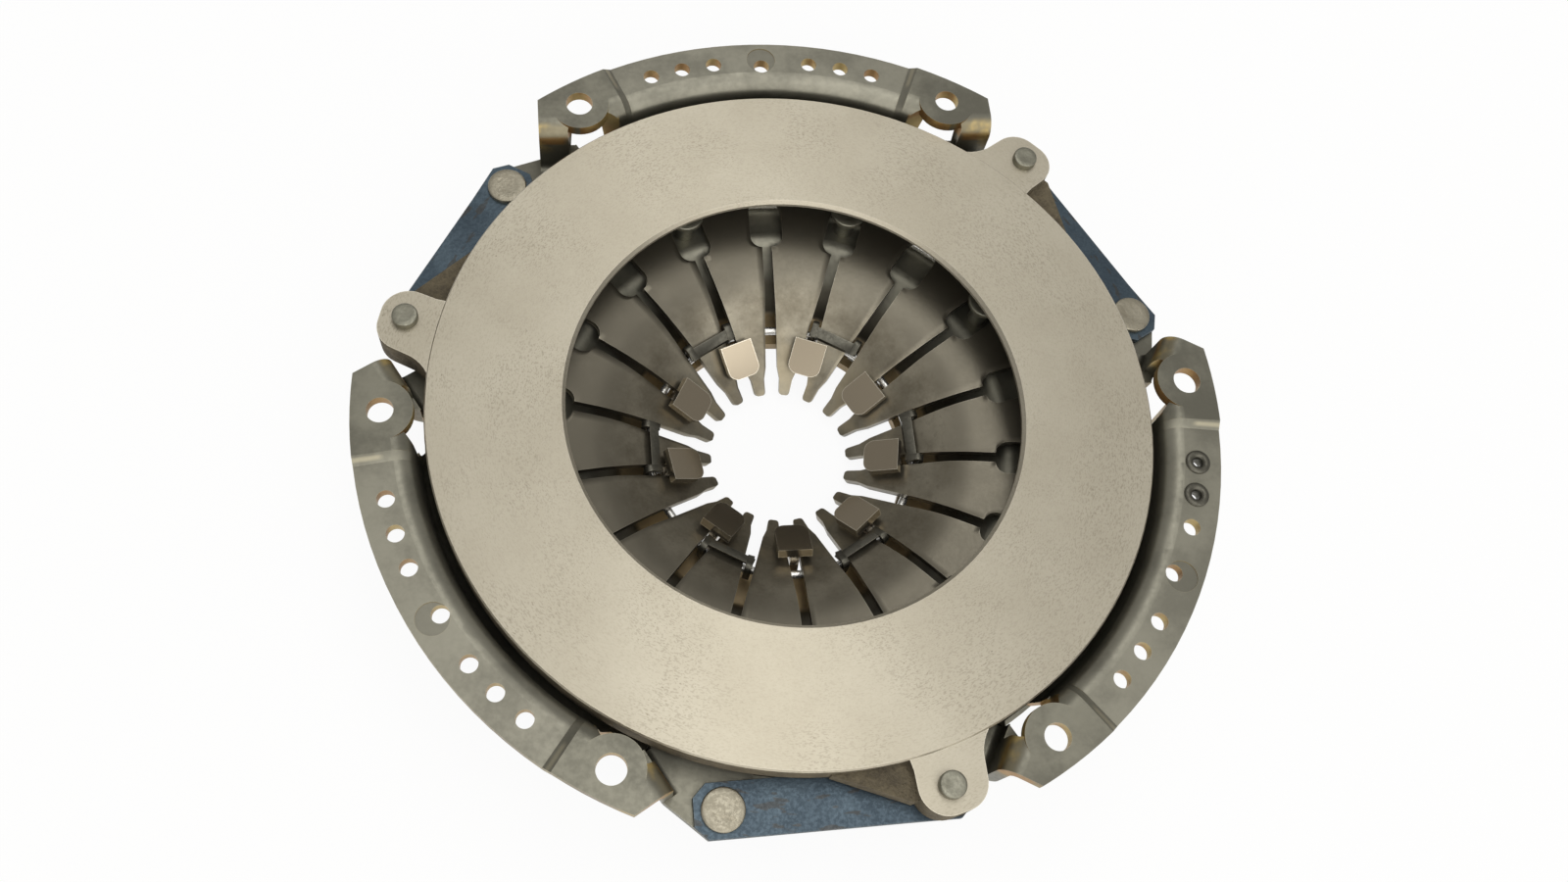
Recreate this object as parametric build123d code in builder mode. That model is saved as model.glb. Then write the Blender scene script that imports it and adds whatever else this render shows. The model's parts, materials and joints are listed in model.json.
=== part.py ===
"""Clutch pressure plate: pressed cover, cast plate on leaf straps, diaphragm spring.

Millimetres. The flywheel pad plane is z = 0 and +Z points to the flywheel.
Wing 0 of the cover is centred on +Y and angles grow counter-clockwise.
"""
import os
from math import atan2, cos, degrees, hypot, radians, sin, sqrt, tan

from build123d import *

os.makedirs("parts", exist_ok=True)

# Clearances: between pieces that move apart, and between pieces that are fastened together.
run_gap = 0.3
seat_gap = 0.05

# Radii of the cover's bowl, from its hub outward.
hub_edge_r = 46.0
hub_land = 13.0
hub_cone = 21.0
seat_lead = 14.5
seat_tail = 12.5
hub_flat_r = hub_edge_r + hub_land
seat_inner_r = hub_flat_r + hub_cone
pivot_r = seat_inner_r + seat_lead
seat_outer_r = pivot_r + seat_tail

# Radii of the spring and of the casting's ring, from the pivot outward.
spring_margin = 20.0
ring_margin = 7.5
ring_width = 45.2
spring_outer_r = pivot_r + spring_margin
ring_outer_r = spring_outer_r + ring_margin
ring_bore_r = ring_outer_r - ring_width

# Cover: pressed sheet, its flange, wings and pads.
sheet = 4.0
wing_count = 3
wing_pitch = 360.0 / wing_count
wing_0_angle = 90.0
wing_gap = 4.0
wall_lean = 1.6
bay_step = 3.4
bolt_inset = 9.1
pad_margin = 9.3
flange_corner_r = ring_outer_r + wing_gap
shoulder_r = flange_corner_r - wall_lean
bay_rim_r = shoulder_r - bay_step
bolt_circle_r = flange_corner_r + bolt_inset
cover_outer_r = bolt_circle_r + pad_margin
bolt_half_angle = 30.0
strip_drop = 1.85
strip_half_angle = 22.7
joggle_angle = 1.2
joggle_swell = 0.3
pad_end_angle = 32.6
flange_bend_r = 2.6
shoulder_depth = 18.0
hub_depth = 54.3
bowl_bend_r = 3.0

# Wing ends: a flat wall across each end, and the foot that it stands on.
end_wall_inset = 1.15
end_wall_lead = 1.4
end_wall_lean = 0.8
end_bend_r = 2.5
end_foot = 8.0
shelf_end_margin = 14.75
plain_end_margin = 15.85
foot_inset = 2.0
shelf_reach = 8.0
shelf_inset = 0.4

# Cover holes.
dowel_hole_r = 4.7
plain_hole_r = 4.3
ear_r = 10.4
window_drop = 5.6
window_length = 15.5
window_half_width = 9.8
window_slant_start = 5.0
window_slant_end = 12.6
window_slant = 6.2
window_corner_r = 3.0
window_depth = 13.0
window_floor = 7.2
window_floor_end = 5.5
window_floor_corner = 2.0
window_floor_start = 6.5
window_floor_slant = 4.5
window_floor_margin = 10.0
small_hole_r = 2.85
small_hole_out = 1.2
small_hole_angles = (7.5, 12.5, 17.5)
centre_hole_in = 0.6
mark_r = 5.3
mark_out = 2.1
mark_depth = 0.3
small_hole_circle_r = bolt_circle_r + small_hole_out
centre_hole_circle_r = bolt_circle_r - centre_hole_in
mark_circle_r = bolt_circle_r + mark_out

# Release stops: T-headed tongues of the cover.
stop_count = 9
stop_first_angle = 110.0
stop_stem_width = 3.2
stop_head_width = 12.0
stop_head_length = 13.0
stop_head_corner_r = 3.6
stop_head_in = 10.4
stop_head_drop = 41.8
stop_sheet = 3.2
stem_lean = 3.6
stop_head_r = hub_edge_r - stop_head_in

# Pressure plate casting.
face_drop = 3.9
ring_thickness = 13.0
bore_chamfer = 1.1
bore_lip = 1.2
rim_chamfer = 0.5
ridge_inset = 2.5
ridge_width = 7.0
ridge_round = 2.7
back_inset = 4.5
rim_thickness = 9.5
rim_inset = 4.5
back_step = 1.5
lug_offset_angle = 45.3
lug_rivet_out = 10.7
lug_margin = 8.5
lug_end_r = 9.0
lug_root = 10.0
lug_face_drop = 0.6
lug_bottom = 15.0
lug_lead_half = 9.9
lug_trail_half = 12.0
lug_waist = 2.8
lug_waist_half = 9.2
lug_flank = 5.3
lug_flank_half = 13.2
flare_mid = 1.3
flare_mid_half = 15.3
flare_half = 18.6
gusset_drop = 3.6
gusset_bottom_rise = 1.5
gusset_length = 33.0
gusset_out = 0.8
gusset_lap = 1.5
gusset_half = 11.8
ridge_r = spring_outer_r - ridge_inset
back_step_r = pivot_r - back_inset
rim_step_r = ring_outer_r - rim_inset
lug_rivet_r = ring_outer_r + lug_rivet_out
lug_outer_r = lug_rivet_r + lug_margin
lug_root_r = ring_outer_r - lug_root
gusset_side_r = lug_rivet_r + gusset_out

# Diaphragm spring.
finger_count = 18
spring_sheet = 2.8
finger_tip_r = 24.6
finger_bend_in = 34.5
spring_depth = 27.18
disc_slope = 12.0
finger_slope = 29.5
neck_in = 19.5
finger_bend_round = 12.0
slot_half_width = 1.8
slot_mid_half_width = 2.1
slot_root_half_width = 2.2
slot_nose_half_width = 2.9
slot_tip_half_width = 2.65
slot_mid_out = 4.0
slot_root_out = 9.2
slot_nose_out = 5.4
slot_open_r = 20.0
tip_round = 1.2
keyhole_half_width = 6.1
keyhole_in = 1.5
keyhole_corner_r = 4.4
finger_bend_r = pivot_r - finger_bend_in
neck_r = pivot_r - neck_in
keyhole_outer_r = pivot_r - keyhole_in

# Pivot rings and fulcrum rivets.
pivot_wire_r = 2.0
fulcrum_in = 5.8
fulcrum_shank_r = 3.5
fulcrum_head_r = 6.3
fulcrum_head = 2.0
fulcrum_tail_r = 5.5
fulcrum_edge = 0.5
fulcrum_rivet_r = pivot_r - fulcrum_in

# Straps.
leaf_count = 3
leaf_thickness = 0.7
strap_width = 17.0
strap_end = 9.0
strap_clip = 4.2
strap_flat = 10.0
strap_bend_r = 15.0
shelf_rivet_offset_angle = 74.9
shelf_rivet_out = 0.5
shelf_rivet_head_r = 6.85
shelf_rivet_head = 1.8
shelf_rivet_edge = 0.3
shelf_rivet_top = 16.2
rivet_shank_r = 3.5
tail_head_r = 6.0
tail_head = 2.2
lug_rivet_head_r = 4.25
lug_rivet_top = 1.7
lug_rivet_edge = 0.8
shelf_rivet_r = lug_rivet_r + shelf_rivet_out

# Finger ring and its clips.
clip_count = 6
clip_first_angle = 60.0
finger_ring_out = 1.7
finger_ring_wire_r = 1.5
clip_sheet = 1.6
clip_bar_in = 3.4
clip_bar_width = 3.2
clip_leg_out = 3.3
clip_leg_width = 2.4
clip_bend_r = 0.6
finger_ring_r = hub_edge_r + finger_ring_out
clip_bar_inner_r = finger_ring_r - clip_bar_in
clip_bar_outer_r = clip_bar_inner_r + clip_bar_width
clip_leg_r = finger_ring_r + clip_leg_out

# Balance rivets.
balance_wing = 1
balance_head_r = 4.2
balance_head = 0.9
balance_tube_r = 2.7
balance_bore_r = 1.6

# Heights that follow from the sizes above.
disc_rise = tan(radians(disc_slope))
finger_fall = tan(radians(finger_slope))
disc_normal = cos(radians(disc_slope))
finger_normal = cos(radians(finger_slope))
ring_back = face_drop + ring_thickness
strap_pack = leaf_count * leaf_thickness + (leaf_count - 1) * seat_gap
strap_shelf_top = shelf_rivet_top + shelf_rivet_head + seat_gap
shelf_top = strap_shelf_top + strap_pack + seat_gap
strap_lug_top = lug_bottom + run_gap


def spring_top(radius):
    """Height of the diaphragm's flywheel side at a radius."""
    bend = -spring_depth - (pivot_r - finger_bend_r) * disc_rise
    if radius >= finger_bend_r:
        return bend + (radius - finger_bend_r) * disc_rise
    return bend - (finger_bend_r - radius) * finger_fall


pivot_drop = (pivot_wire_r + seat_gap) / disc_normal
plate_wire_z = spring_top(pivot_r) + pivot_drop
cover_wire_z = spring_top(pivot_r) - spring_sheet / disc_normal - pivot_drop
seat_z = cover_wire_z - pivot_wire_r - seat_gap
ridge_tip_r = ridge_r + ridge_width / 2 - ridge_round
ridge_z = spring_top(ridge_tip_r) + run_gap
finger_under_z = spring_top(finger_ring_r) - spring_sheet / finger_normal
finger_ring_z = finger_under_z - (finger_ring_wire_r + run_gap) / finger_normal


def polar(radius, angle, z=0.0):
    """Point at a radius and an angle in degrees."""
    return (radius * cos(radians(angle)), radius * sin(radians(angle)), z)


def radial_plane(angle):
    """Plane through the axis: local x runs outward and local y runs up."""
    across = (sin(radians(angle)), -cos(radians(angle)), 0)
    return Plane(origin=(0, 0, 0), x_dir=polar(1, angle), z_dir=across)


def plan_plane(angle, z=0.0):
    """Level plane: local x runs outward at the angle, local y counter-clockwise."""
    return Plane(origin=(0, 0, z), x_dir=polar(1, angle), z_dir=(0, 0, 1))


def across_plane(offset):
    """Upright plane across a wing: local x runs outward along the wing's middle, local y up."""
    return Plane(origin=(0, offset, 0), x_dir=(1, 0, 0), z_dir=(0, -1, 0))


def beside(points, distance):
    """Points of a path moved to its right by a distance, with mitred corners."""
    steps = []
    for start, end in zip(points, points[1:]):
        length = hypot(end[0] - start[0], end[1] - start[1])
        steps.append(((end[0] - start[0]) / length, (end[1] - start[1]) / length))
    moved = []
    for index, point in enumerate(points):
        before = steps[max(index - 1, 0)]
        after = steps[min(index, len(steps) - 1)]
        side = (before[1] + after[1], -before[0] - after[0])
        scale = distance / (1 + before[0] * after[0] + before[1] * after[1])
        moved.append((point[0] + side[0] * scale, point[1] + side[1] * scale))
    return moved


def bent_sheet(points, thickness, bend):
    """Section of a sheet below a bent path, with the bend radius on the inside of each corner."""
    top_radii = []
    under_radii = []
    for before, corner, after in zip(points, points[1:], points[2:]):
        come = (corner[0] - before[0], corner[1] - before[1])
        go = (after[0] - corner[0], after[1] - corner[1])
        turns_up = come[0] * go[1] > come[1] * go[0]
        top_radii.append(bend if turns_up else bend + thickness)
        under_radii.append(bend + thickness if turns_up else bend)
    with BuildSketch() as section:
        with BuildLine():
            top = FilletPolyline(*points, radius=top_radii)
            under = FilletPolyline(*beside(points, thickness), radius=under_radii)
            Line(top @ 0, under @ 0)
            Line(top @ 1, under @ 1)
        make_face()
    return section.sketch


# Cover
wing_angles = [wing_0_angle - wing_pitch * index for index in range(wing_count)]
hub_path = [
    (hub_edge_r, -hub_depth),
    (hub_flat_r, -hub_depth),
    (seat_inner_r, seat_z),
    (seat_outer_r, seat_z),
]
wall_slope = (-shoulder_depth - seat_z) / (shoulder_r - seat_outer_r)
bay_rim_z = seat_z + (bay_rim_r - seat_outer_r) * wall_slope
bowl_section = bent_sheet(hub_path + [(bay_rim_r, bay_rim_z)], sheet, bowl_bend_r)


def wing_section(drop, thickness):
    """Section of a wing of a thickness with its flange a drop below the pad plane."""
    path = [
        (bay_rim_r, bay_rim_z),
        (shoulder_r, -shoulder_depth),
        (flange_corner_r, -drop),
        (cover_outer_r, -drop),
    ]
    return bent_sheet(path, thickness, flange_bend_r)


pad_section = wing_section(0.0, sheet)
strip_section = wing_section(strip_drop, sheet)
joggle_high = wing_section(0.0, sheet + joggle_swell)
joggle_low = wing_section(strip_drop, sheet + joggle_swell)
joggle_end = strip_half_angle + joggle_angle
pad_arc = pad_end_angle - joggle_end
trim_r = 2 * cover_outer_r
bolt_y = bolt_circle_r * sin(radians(bolt_half_angle))
shelf_end_y = bolt_y + shelf_end_margin
plain_end_y = bolt_y + plain_end_margin
end_wall_x = flange_corner_r * cos(radians(pad_end_angle)) - end_wall_inset
end_wall_start = flange_corner_r * sin(radians(pad_end_angle)) - end_wall_lead
wall_foot_x = end_wall_x - end_wall_lean
foot_x = wall_foot_x - end_bend_r
foot_inner_r = bay_rim_r - foot_inset
end_path = [
    (wall_foot_x - end_foot, -shelf_top),
    (wall_foot_x, -shelf_top),
    (end_wall_x, 0.0),
    (cover_outer_r, 0.0),
]
end_section = bent_sheet(end_path, sheet, end_bend_r)
shelf_at = polar(shelf_rivet_r, wing_pitch - shelf_rivet_offset_angle)
lug_at = polar(lug_rivet_r, wing_pitch - lug_offset_angle)
strap_run = hypot(lug_at[0] - shelf_at[0], lug_at[1] - shelf_at[1])
strap_along = ((lug_at[0] - shelf_at[0]) / strap_run, (lug_at[1] - shelf_at[1]) / strap_run)


def beside_rivet(along, outward):
    """Point of a wing's plan measured from its strap rivet, along the strap and away from the axis."""
    return (
        shelf_at[0] + strap_along[0] * along + strap_along[1] * outward,
        shelf_at[1] + strap_along[1] * along - strap_along[0] * outward,
    )


shelf_side = strap_width / 2 - shelf_inset
shelf_far = beside_rivet(shelf_reach, 0.0)
shelf_far_angle = degrees(atan2(shelf_far[1], shelf_far[0]))
shelf_plan = [
    (foot_x, end_wall_start),
    (foot_x, shelf_end_y - sheet / 4),
    (end_wall_x + end_bend_r, shelf_end_y - sheet / 4),
    (end_wall_x + end_bend_r, shelf_end_y),
    beside_rivet(strap_clip - strap_end, shelf_side),
    beside_rivet(shelf_reach, shelf_side),
    polar(foot_inner_r, shelf_far_angle)[:2],
    polar(foot_inner_r, (shelf_far_angle + pad_end_angle) / 2)[:2],
    polar(foot_inner_r, pad_end_angle)[:2],
]
plain_far_x = sqrt(foot_inner_r**2 - plain_end_y**2)
plain_far_angle = degrees(atan2(plain_end_y, plain_far_x))
plain_plan = [
    (foot_x, -end_wall_start),
    (foot_x, -plain_end_y),
    (plain_far_x, -plain_end_y),
    polar(foot_inner_r, -(plain_far_angle + pad_end_angle) / 2)[:2],
    polar(foot_inner_r, -pad_end_angle)[:2],
]
window_outer_r = bolt_circle_r - window_drop
window_inner_r = window_outer_r - window_length
window_floor_r = window_outer_r - window_floor
window_floor_depth = shoulder_depth + window_floor_margin
slant_share = window_floor_slant / window_slant
window_floor_slant_y = window_slant_start + (window_slant_end - window_slant_start) * slant_share

with BuildPart() as wing:
    with BuildSketch(radial_plane(-strip_half_angle)):
        add(strip_section)
    revolve(axis=Axis.Z, revolution_arc=2 * strip_half_angle)
    for start in (-pad_end_angle, joggle_end):
        with BuildSketch(radial_plane(start)):
            add(pad_section)
        revolve(axis=Axis.Z, revolution_arc=pad_arc)
    for side in (-1, 1):
        with BuildSketch(radial_plane(side * strip_half_angle)):
            add(joggle_low)
        with BuildSketch(radial_plane(side * joggle_end)):
            add(joggle_high)
        loft(ruled=True)
    for near, far in ((shelf_end_y, end_wall_start), (-end_wall_start, -plain_end_y)):
        with BuildSketch(across_plane(near)):
            add(end_section)
        extrude(amount=near - far)
    for plan in (shelf_plan, plain_plan):
        with BuildSketch(plan_plane(0, -shelf_top)):
            with BuildLine():
                Polyline(*plan, close=True)
            make_face()
        extrude(amount=-sheet)
    for side in (-1, 1):
        with BuildSketch(plan_plane(side * bolt_half_angle, sheet)) as window:
            with BuildLine():
                Polyline(
                    (window_outer_r, side * window_half_width),
                    (window_outer_r, -side * window_slant_start),
                    (window_outer_r - window_slant, -side * window_slant_end),
                    (window_inner_r, -side * window_slant_end),
                    (window_inner_r, side * window_half_width),
                    close=True,
                )
            make_face()
            fillet(window.vertices().group_by(Axis.X)[-1], radius=window_corner_r)
        extrude(amount=-window_depth - sheet, mode=Mode.SUBTRACT)
        with BuildSketch(plan_plane(side * bolt_half_angle, -sheet)):
            with BuildLine():
                Polyline(
                    (window_outer_r, side * window_floor_end),
                    (window_outer_r, -side * window_slant_start),
                    (window_outer_r - window_floor_slant, -side * window_floor_slant_y),
                    (window_floor_r, -side * window_floor_start),
                    (window_floor_r, side * (window_floor_end - window_floor_corner)),
                    (window_floor_r + window_floor_corner, side * window_floor_end),
                    close=True,
                )
            make_face()
        extrude(amount=sheet - window_floor_depth, mode=Mode.SUBTRACT)
        with BuildSketch(plan_plane(side * bolt_half_angle)):
            with Locations((bolt_circle_r, 0)):
                Circle(ear_r)
        extrude(amount=-sheet)
    with BuildSketch(Plane.XY.offset(sheet)):
        Circle(trim_r)
        Circle(cover_outer_r, mode=Mode.SUBTRACT)
    extrude(amount=-hub_depth, mode=Mode.SUBTRACT)
    for side, hole_r in ((1, dowel_hole_r), (-1, plain_hole_r)):
        with BuildSketch(plan_plane(side * bolt_half_angle, sheet)):
            with Locations((bolt_circle_r, 0)):
                Circle(hole_r)
        extrude(amount=-3 * sheet, mode=Mode.SUBTRACT)
        for angle in small_hole_angles:
            with BuildSketch(plan_plane(side * angle, sheet)):
                with Locations((small_hole_circle_r, 0)):
                    Circle(small_hole_r)
            extrude(amount=-3 * sheet, mode=Mode.SUBTRACT)
    with BuildSketch(plan_plane(0, -strip_drop)):
        with Locations((mark_circle_r, 0)):
            Circle(mark_r)
    extrude(amount=-mark_depth, mode=Mode.SUBTRACT)
    with BuildSketch(plan_plane(0, sheet)):
        with Locations((centre_hole_circle_r, 0)):
            Circle(small_hole_r)
    extrude(amount=-3 * sheet, mode=Mode.SUBTRACT)

head_normal = (-sin(radians(finger_slope)), cos(radians(finger_slope)))
head_along = (cos(radians(finger_slope)), sin(radians(finger_slope)))
head_outer = (
    stop_head_r + head_along[0] * stop_head_length / 2,
    -stop_head_drop + head_along[1] * stop_head_length / 2,
)
head_under = (
    head_outer[0] - head_normal[0] * stop_sheet,
    head_outer[1] - head_normal[1] * stop_sheet,
)
head_plane = Plane(
    origin=(stop_head_r, 0, -stop_head_drop),
    x_dir=(head_along[0], 0, head_along[1]),
    z_dir=(head_normal[0], 0, head_normal[1]),
)
stem_foot_z = -hub_depth - sheet

with BuildPart() as stop:
    with BuildSketch(radial_plane(0)):
        with BuildLine():
            Polyline(
                (head_outer[0] - head_along[0] * stop_sheet, head_outer[1] - head_along[1] * stop_sheet),
                head_outer,
                head_under,
                (hub_edge_r + sheet / 4, -hub_depth),
                (hub_edge_r + sheet / 4, stem_foot_z),
                (hub_edge_r - stem_lean, stem_foot_z),
                (head_under[0] - stem_lean, head_under[1] - stop_sheet / 2),
                close=True,
            )
        make_face()
    extrude(amount=stop_stem_width / 2, both=True)
    with BuildSketch(head_plane) as head_face:
        Rectangle(stop_head_length, stop_head_width)
        fillet(head_face.vertices().group_by(Axis.X)[0], radius=stop_head_corner_r)
    extrude(amount=-stop_sheet)

with BuildPart() as cover:
    with BuildSketch(radial_plane(0)):
        add(bowl_section)
    revolve(axis=Axis.Z)
    with PolarLocations(0, wing_count, start_angle=wing_0_angle):
        add(wing.part)
    with PolarLocations(0, stop_count, start_angle=stop_first_angle):
        add(stop.part)
    with BuildSketch(Plane.XY.offset(seat_z + sheet)):
        with PolarLocations(fulcrum_rivet_r, stop_count, start_angle=stop_first_angle):
            Circle(fulcrum_shank_r + seat_gap)
    extrude(amount=-3 * sheet, mode=Mode.SUBTRACT)
    with BuildSketch(Plane.XY.offset(sheet - shelf_top)):
        with PolarLocations(
            shelf_rivet_r, wing_count, start_angle=wing_0_angle - shelf_rivet_offset_angle
        ):
            Circle(rivet_shank_r + seat_gap)
    extrude(amount=-3 * sheet, mode=Mode.SUBTRACT)
cover.part.label = "cover"
export_step(cover.part, "parts/cover.step")

# Pressure plate
lug_face = -face_drop - lug_face_drop
flare_r = ring_outer_r - rim_chamfer
flare_end = (sqrt(flare_r**2 - flare_half**2), flare_half)
flare_mid_point = (ring_outer_r + flare_mid, flare_mid_half)
flank_point = (ring_outer_r + lug_flank, lug_flank_half)
gusset_angle = degrees(gusset_length / ring_outer_r)

with BuildPart() as pressure_plate:
    with BuildSketch(radial_plane(0)):
        with BuildLine():
            Polyline(
                (ring_bore_r, -face_drop - bore_chamfer),
                (ring_bore_r + bore_chamfer, -face_drop),
                (ring_outer_r - rim_chamfer, -face_drop),
                (ring_outer_r, -face_drop - rim_chamfer),
                (ring_outer_r, -face_drop - rim_thickness),
                (rim_step_r, -face_drop - rim_thickness),
                (rim_step_r - back_step, -ring_back),
                (ridge_r + ridge_width / 2, -ring_back),
                (ridge_tip_r, ridge_z),
                (ridge_r - ridge_width / 2 + ridge_round, ridge_z),
                (ridge_r - ridge_width / 2, -ring_back),
                (back_step_r, -ring_back),
                (ring_bore_r, -face_drop - bore_chamfer - bore_lip),
                close=True,
            )
        make_face()
    revolve(axis=Axis.Z)
    for angle in wing_angles:
        lug_angle = angle - lug_offset_angle
        with BuildSketch(plan_plane(lug_angle, lug_face)) as lug_plan:
            with BuildLine():
                Polyline(
                    flare_end,
                    (lug_root_r, flare_half),
                    (lug_root_r, -lug_waist_half),
                    (ring_outer_r + lug_waist, -lug_waist_half),
                    (lug_outer_r, -lug_trail_half),
                    (lug_outer_r, lug_lead_half),
                    flank_point,
                )
                ThreePointArc(flank_point, flare_mid_point, flare_end)
            make_face()
            fillet(lug_plan.vertices().group_by(Axis.X)[-1], radius=lug_end_r)
        extrude(amount=-lug_bottom - lug_face)
        with BuildSketch(plan_plane(lug_angle, -face_drop - gusset_drop)):
            with BuildLine():
                Polyline(
                    (lug_root_r, -gusset_lap),
                    (gusset_side_r, -gusset_lap),
                    (gusset_side_r, -gusset_half),
                    polar(ring_outer_r + rim_chamfer, -gusset_angle)[:2],
                    polar(lug_root_r, -gusset_angle)[:2],
                    close=True,
                )
            make_face()
        extrude(amount=gusset_bottom_rise - lug_bottom + face_drop + gusset_drop)
    with BuildSketch(Plane.XY):
        with PolarLocations(
            lug_rivet_r, wing_count, start_angle=wing_0_angle - lug_offset_angle
        ):
            Circle(rivet_shank_r + seat_gap)
    extrude(amount=-hub_depth, mode=Mode.SUBTRACT)
pressure_plate.part.label = "pressure_plate"
export_step(pressure_plate.part, "parts/pressure_plate.step")

# Diaphragm spring
spring_path = [
    (finger_tip_r, spring_top(finger_tip_r)),
    (finger_bend_r, spring_top(finger_bend_r)),
    (spring_outer_r, spring_top(spring_outer_r)),
]
slot_side = [
    (slot_open_r, slot_tip_half_width + tip_round),
    (finger_tip_r - tip_round / 4, slot_tip_half_width + tip_round),
    (finger_tip_r + tip_round / 4, slot_tip_half_width + tip_round / 2),
    (finger_tip_r + tip_round * 5 / 4, slot_tip_half_width),
    (finger_tip_r + slot_nose_out, slot_nose_half_width),
    (finger_tip_r + slot_root_out, slot_root_half_width),
    (hub_edge_r + slot_mid_out, slot_mid_half_width),
    (finger_bend_r, slot_half_width),
    (neck_r + keyhole_corner_r, slot_half_width),
]
slot_other_side = [(point[0], -point[1]) for point in reversed(slot_side)]

with BuildSketch() as slot:
    with BuildLine():
        Polyline(*slot_side, *slot_other_side, close=True)
    make_face()
    with Locations(((neck_r + keyhole_outer_r) / 2, 0)):
        RectangleRounded(keyhole_outer_r - neck_r, 2 * keyhole_half_width, keyhole_corner_r)

with BuildPart() as diaphragm_spring:
    with BuildSketch(radial_plane(0)):
        add(bent_sheet(spring_path, spring_sheet, finger_bend_round))
    revolve(axis=Axis.Z)
    with BuildSketch():
        with PolarLocations(0, finger_count, start_angle=wing_0_angle):
            add(slot.sketch)
    extrude(amount=-2 * hub_depth, mode=Mode.SUBTRACT)
diaphragm_spring.part.label = "diaphragm_spring"
export_step(diaphragm_spring.part, "parts/diaphragm_spring.step")

# Pivot rings on the two sides of the diaphragm
with BuildPart() as plate_pivot_ring:
    with BuildSketch(radial_plane(0)):
        with Locations((pivot_r, plate_wire_z)):
            Circle(pivot_wire_r)
    revolve(axis=Axis.Z)
plate_pivot_ring.part.label = "plate_pivot_ring"
export_step(plate_pivot_ring.part, "parts/plate_pivot_ring.step")

with BuildPart() as cover_pivot_ring:
    with BuildSketch(radial_plane(0)):
        with Locations((pivot_r, cover_wire_z)):
            Circle(pivot_wire_r)
    revolve(axis=Axis.Z)
cover_pivot_ring.part.label = "cover_pivot_ring"
export_step(cover_pivot_ring.part, "parts/cover_pivot_ring.step")


def rivet_section(levels, edge):
    """Half section of a rivet from its top down: (radius, top, bottom) for each step."""
    points = [(0.0, levels[0][1]), (levels[0][0] - edge, levels[0][1]), (levels[0][0], levels[0][1] - edge)]
    for index, (radius, top, bottom) in enumerate(levels):
        if index:
            points.append((radius, top))
        points.append((radius, bottom))
    points.append((0.0, levels[-1][2]))
    with BuildSketch() as section:
        with BuildLine():
            Polyline(*points, close=True)
        make_face()
    return section.sketch


fulcrum_under = plate_wire_z + pivot_wire_r + seat_gap
fulcrum_tail = seat_z - sheet - seat_gap
fulcrum_levels = (
    (fulcrum_head_r, fulcrum_under + fulcrum_head, fulcrum_under),
    (fulcrum_shank_r, fulcrum_under, fulcrum_tail),
    (fulcrum_tail_r, fulcrum_tail, fulcrum_tail - fulcrum_head),
)
with BuildPart() as fulcrum_rivet:
    with BuildSketch(radial_plane(0)):
        add(rivet_section(fulcrum_levels, fulcrum_edge))
    revolve(axis=Axis.Z)

with BuildPart() as fulcrum_rivets:
    with PolarLocations(fulcrum_rivet_r, stop_count, start_angle=stop_first_angle):
        add(fulcrum_rivet.part)
fulcrum_rivets.part.label = "fulcrum_rivets"
export_step(fulcrum_rivets.part, "parts/fulcrum_rivets.step")

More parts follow.
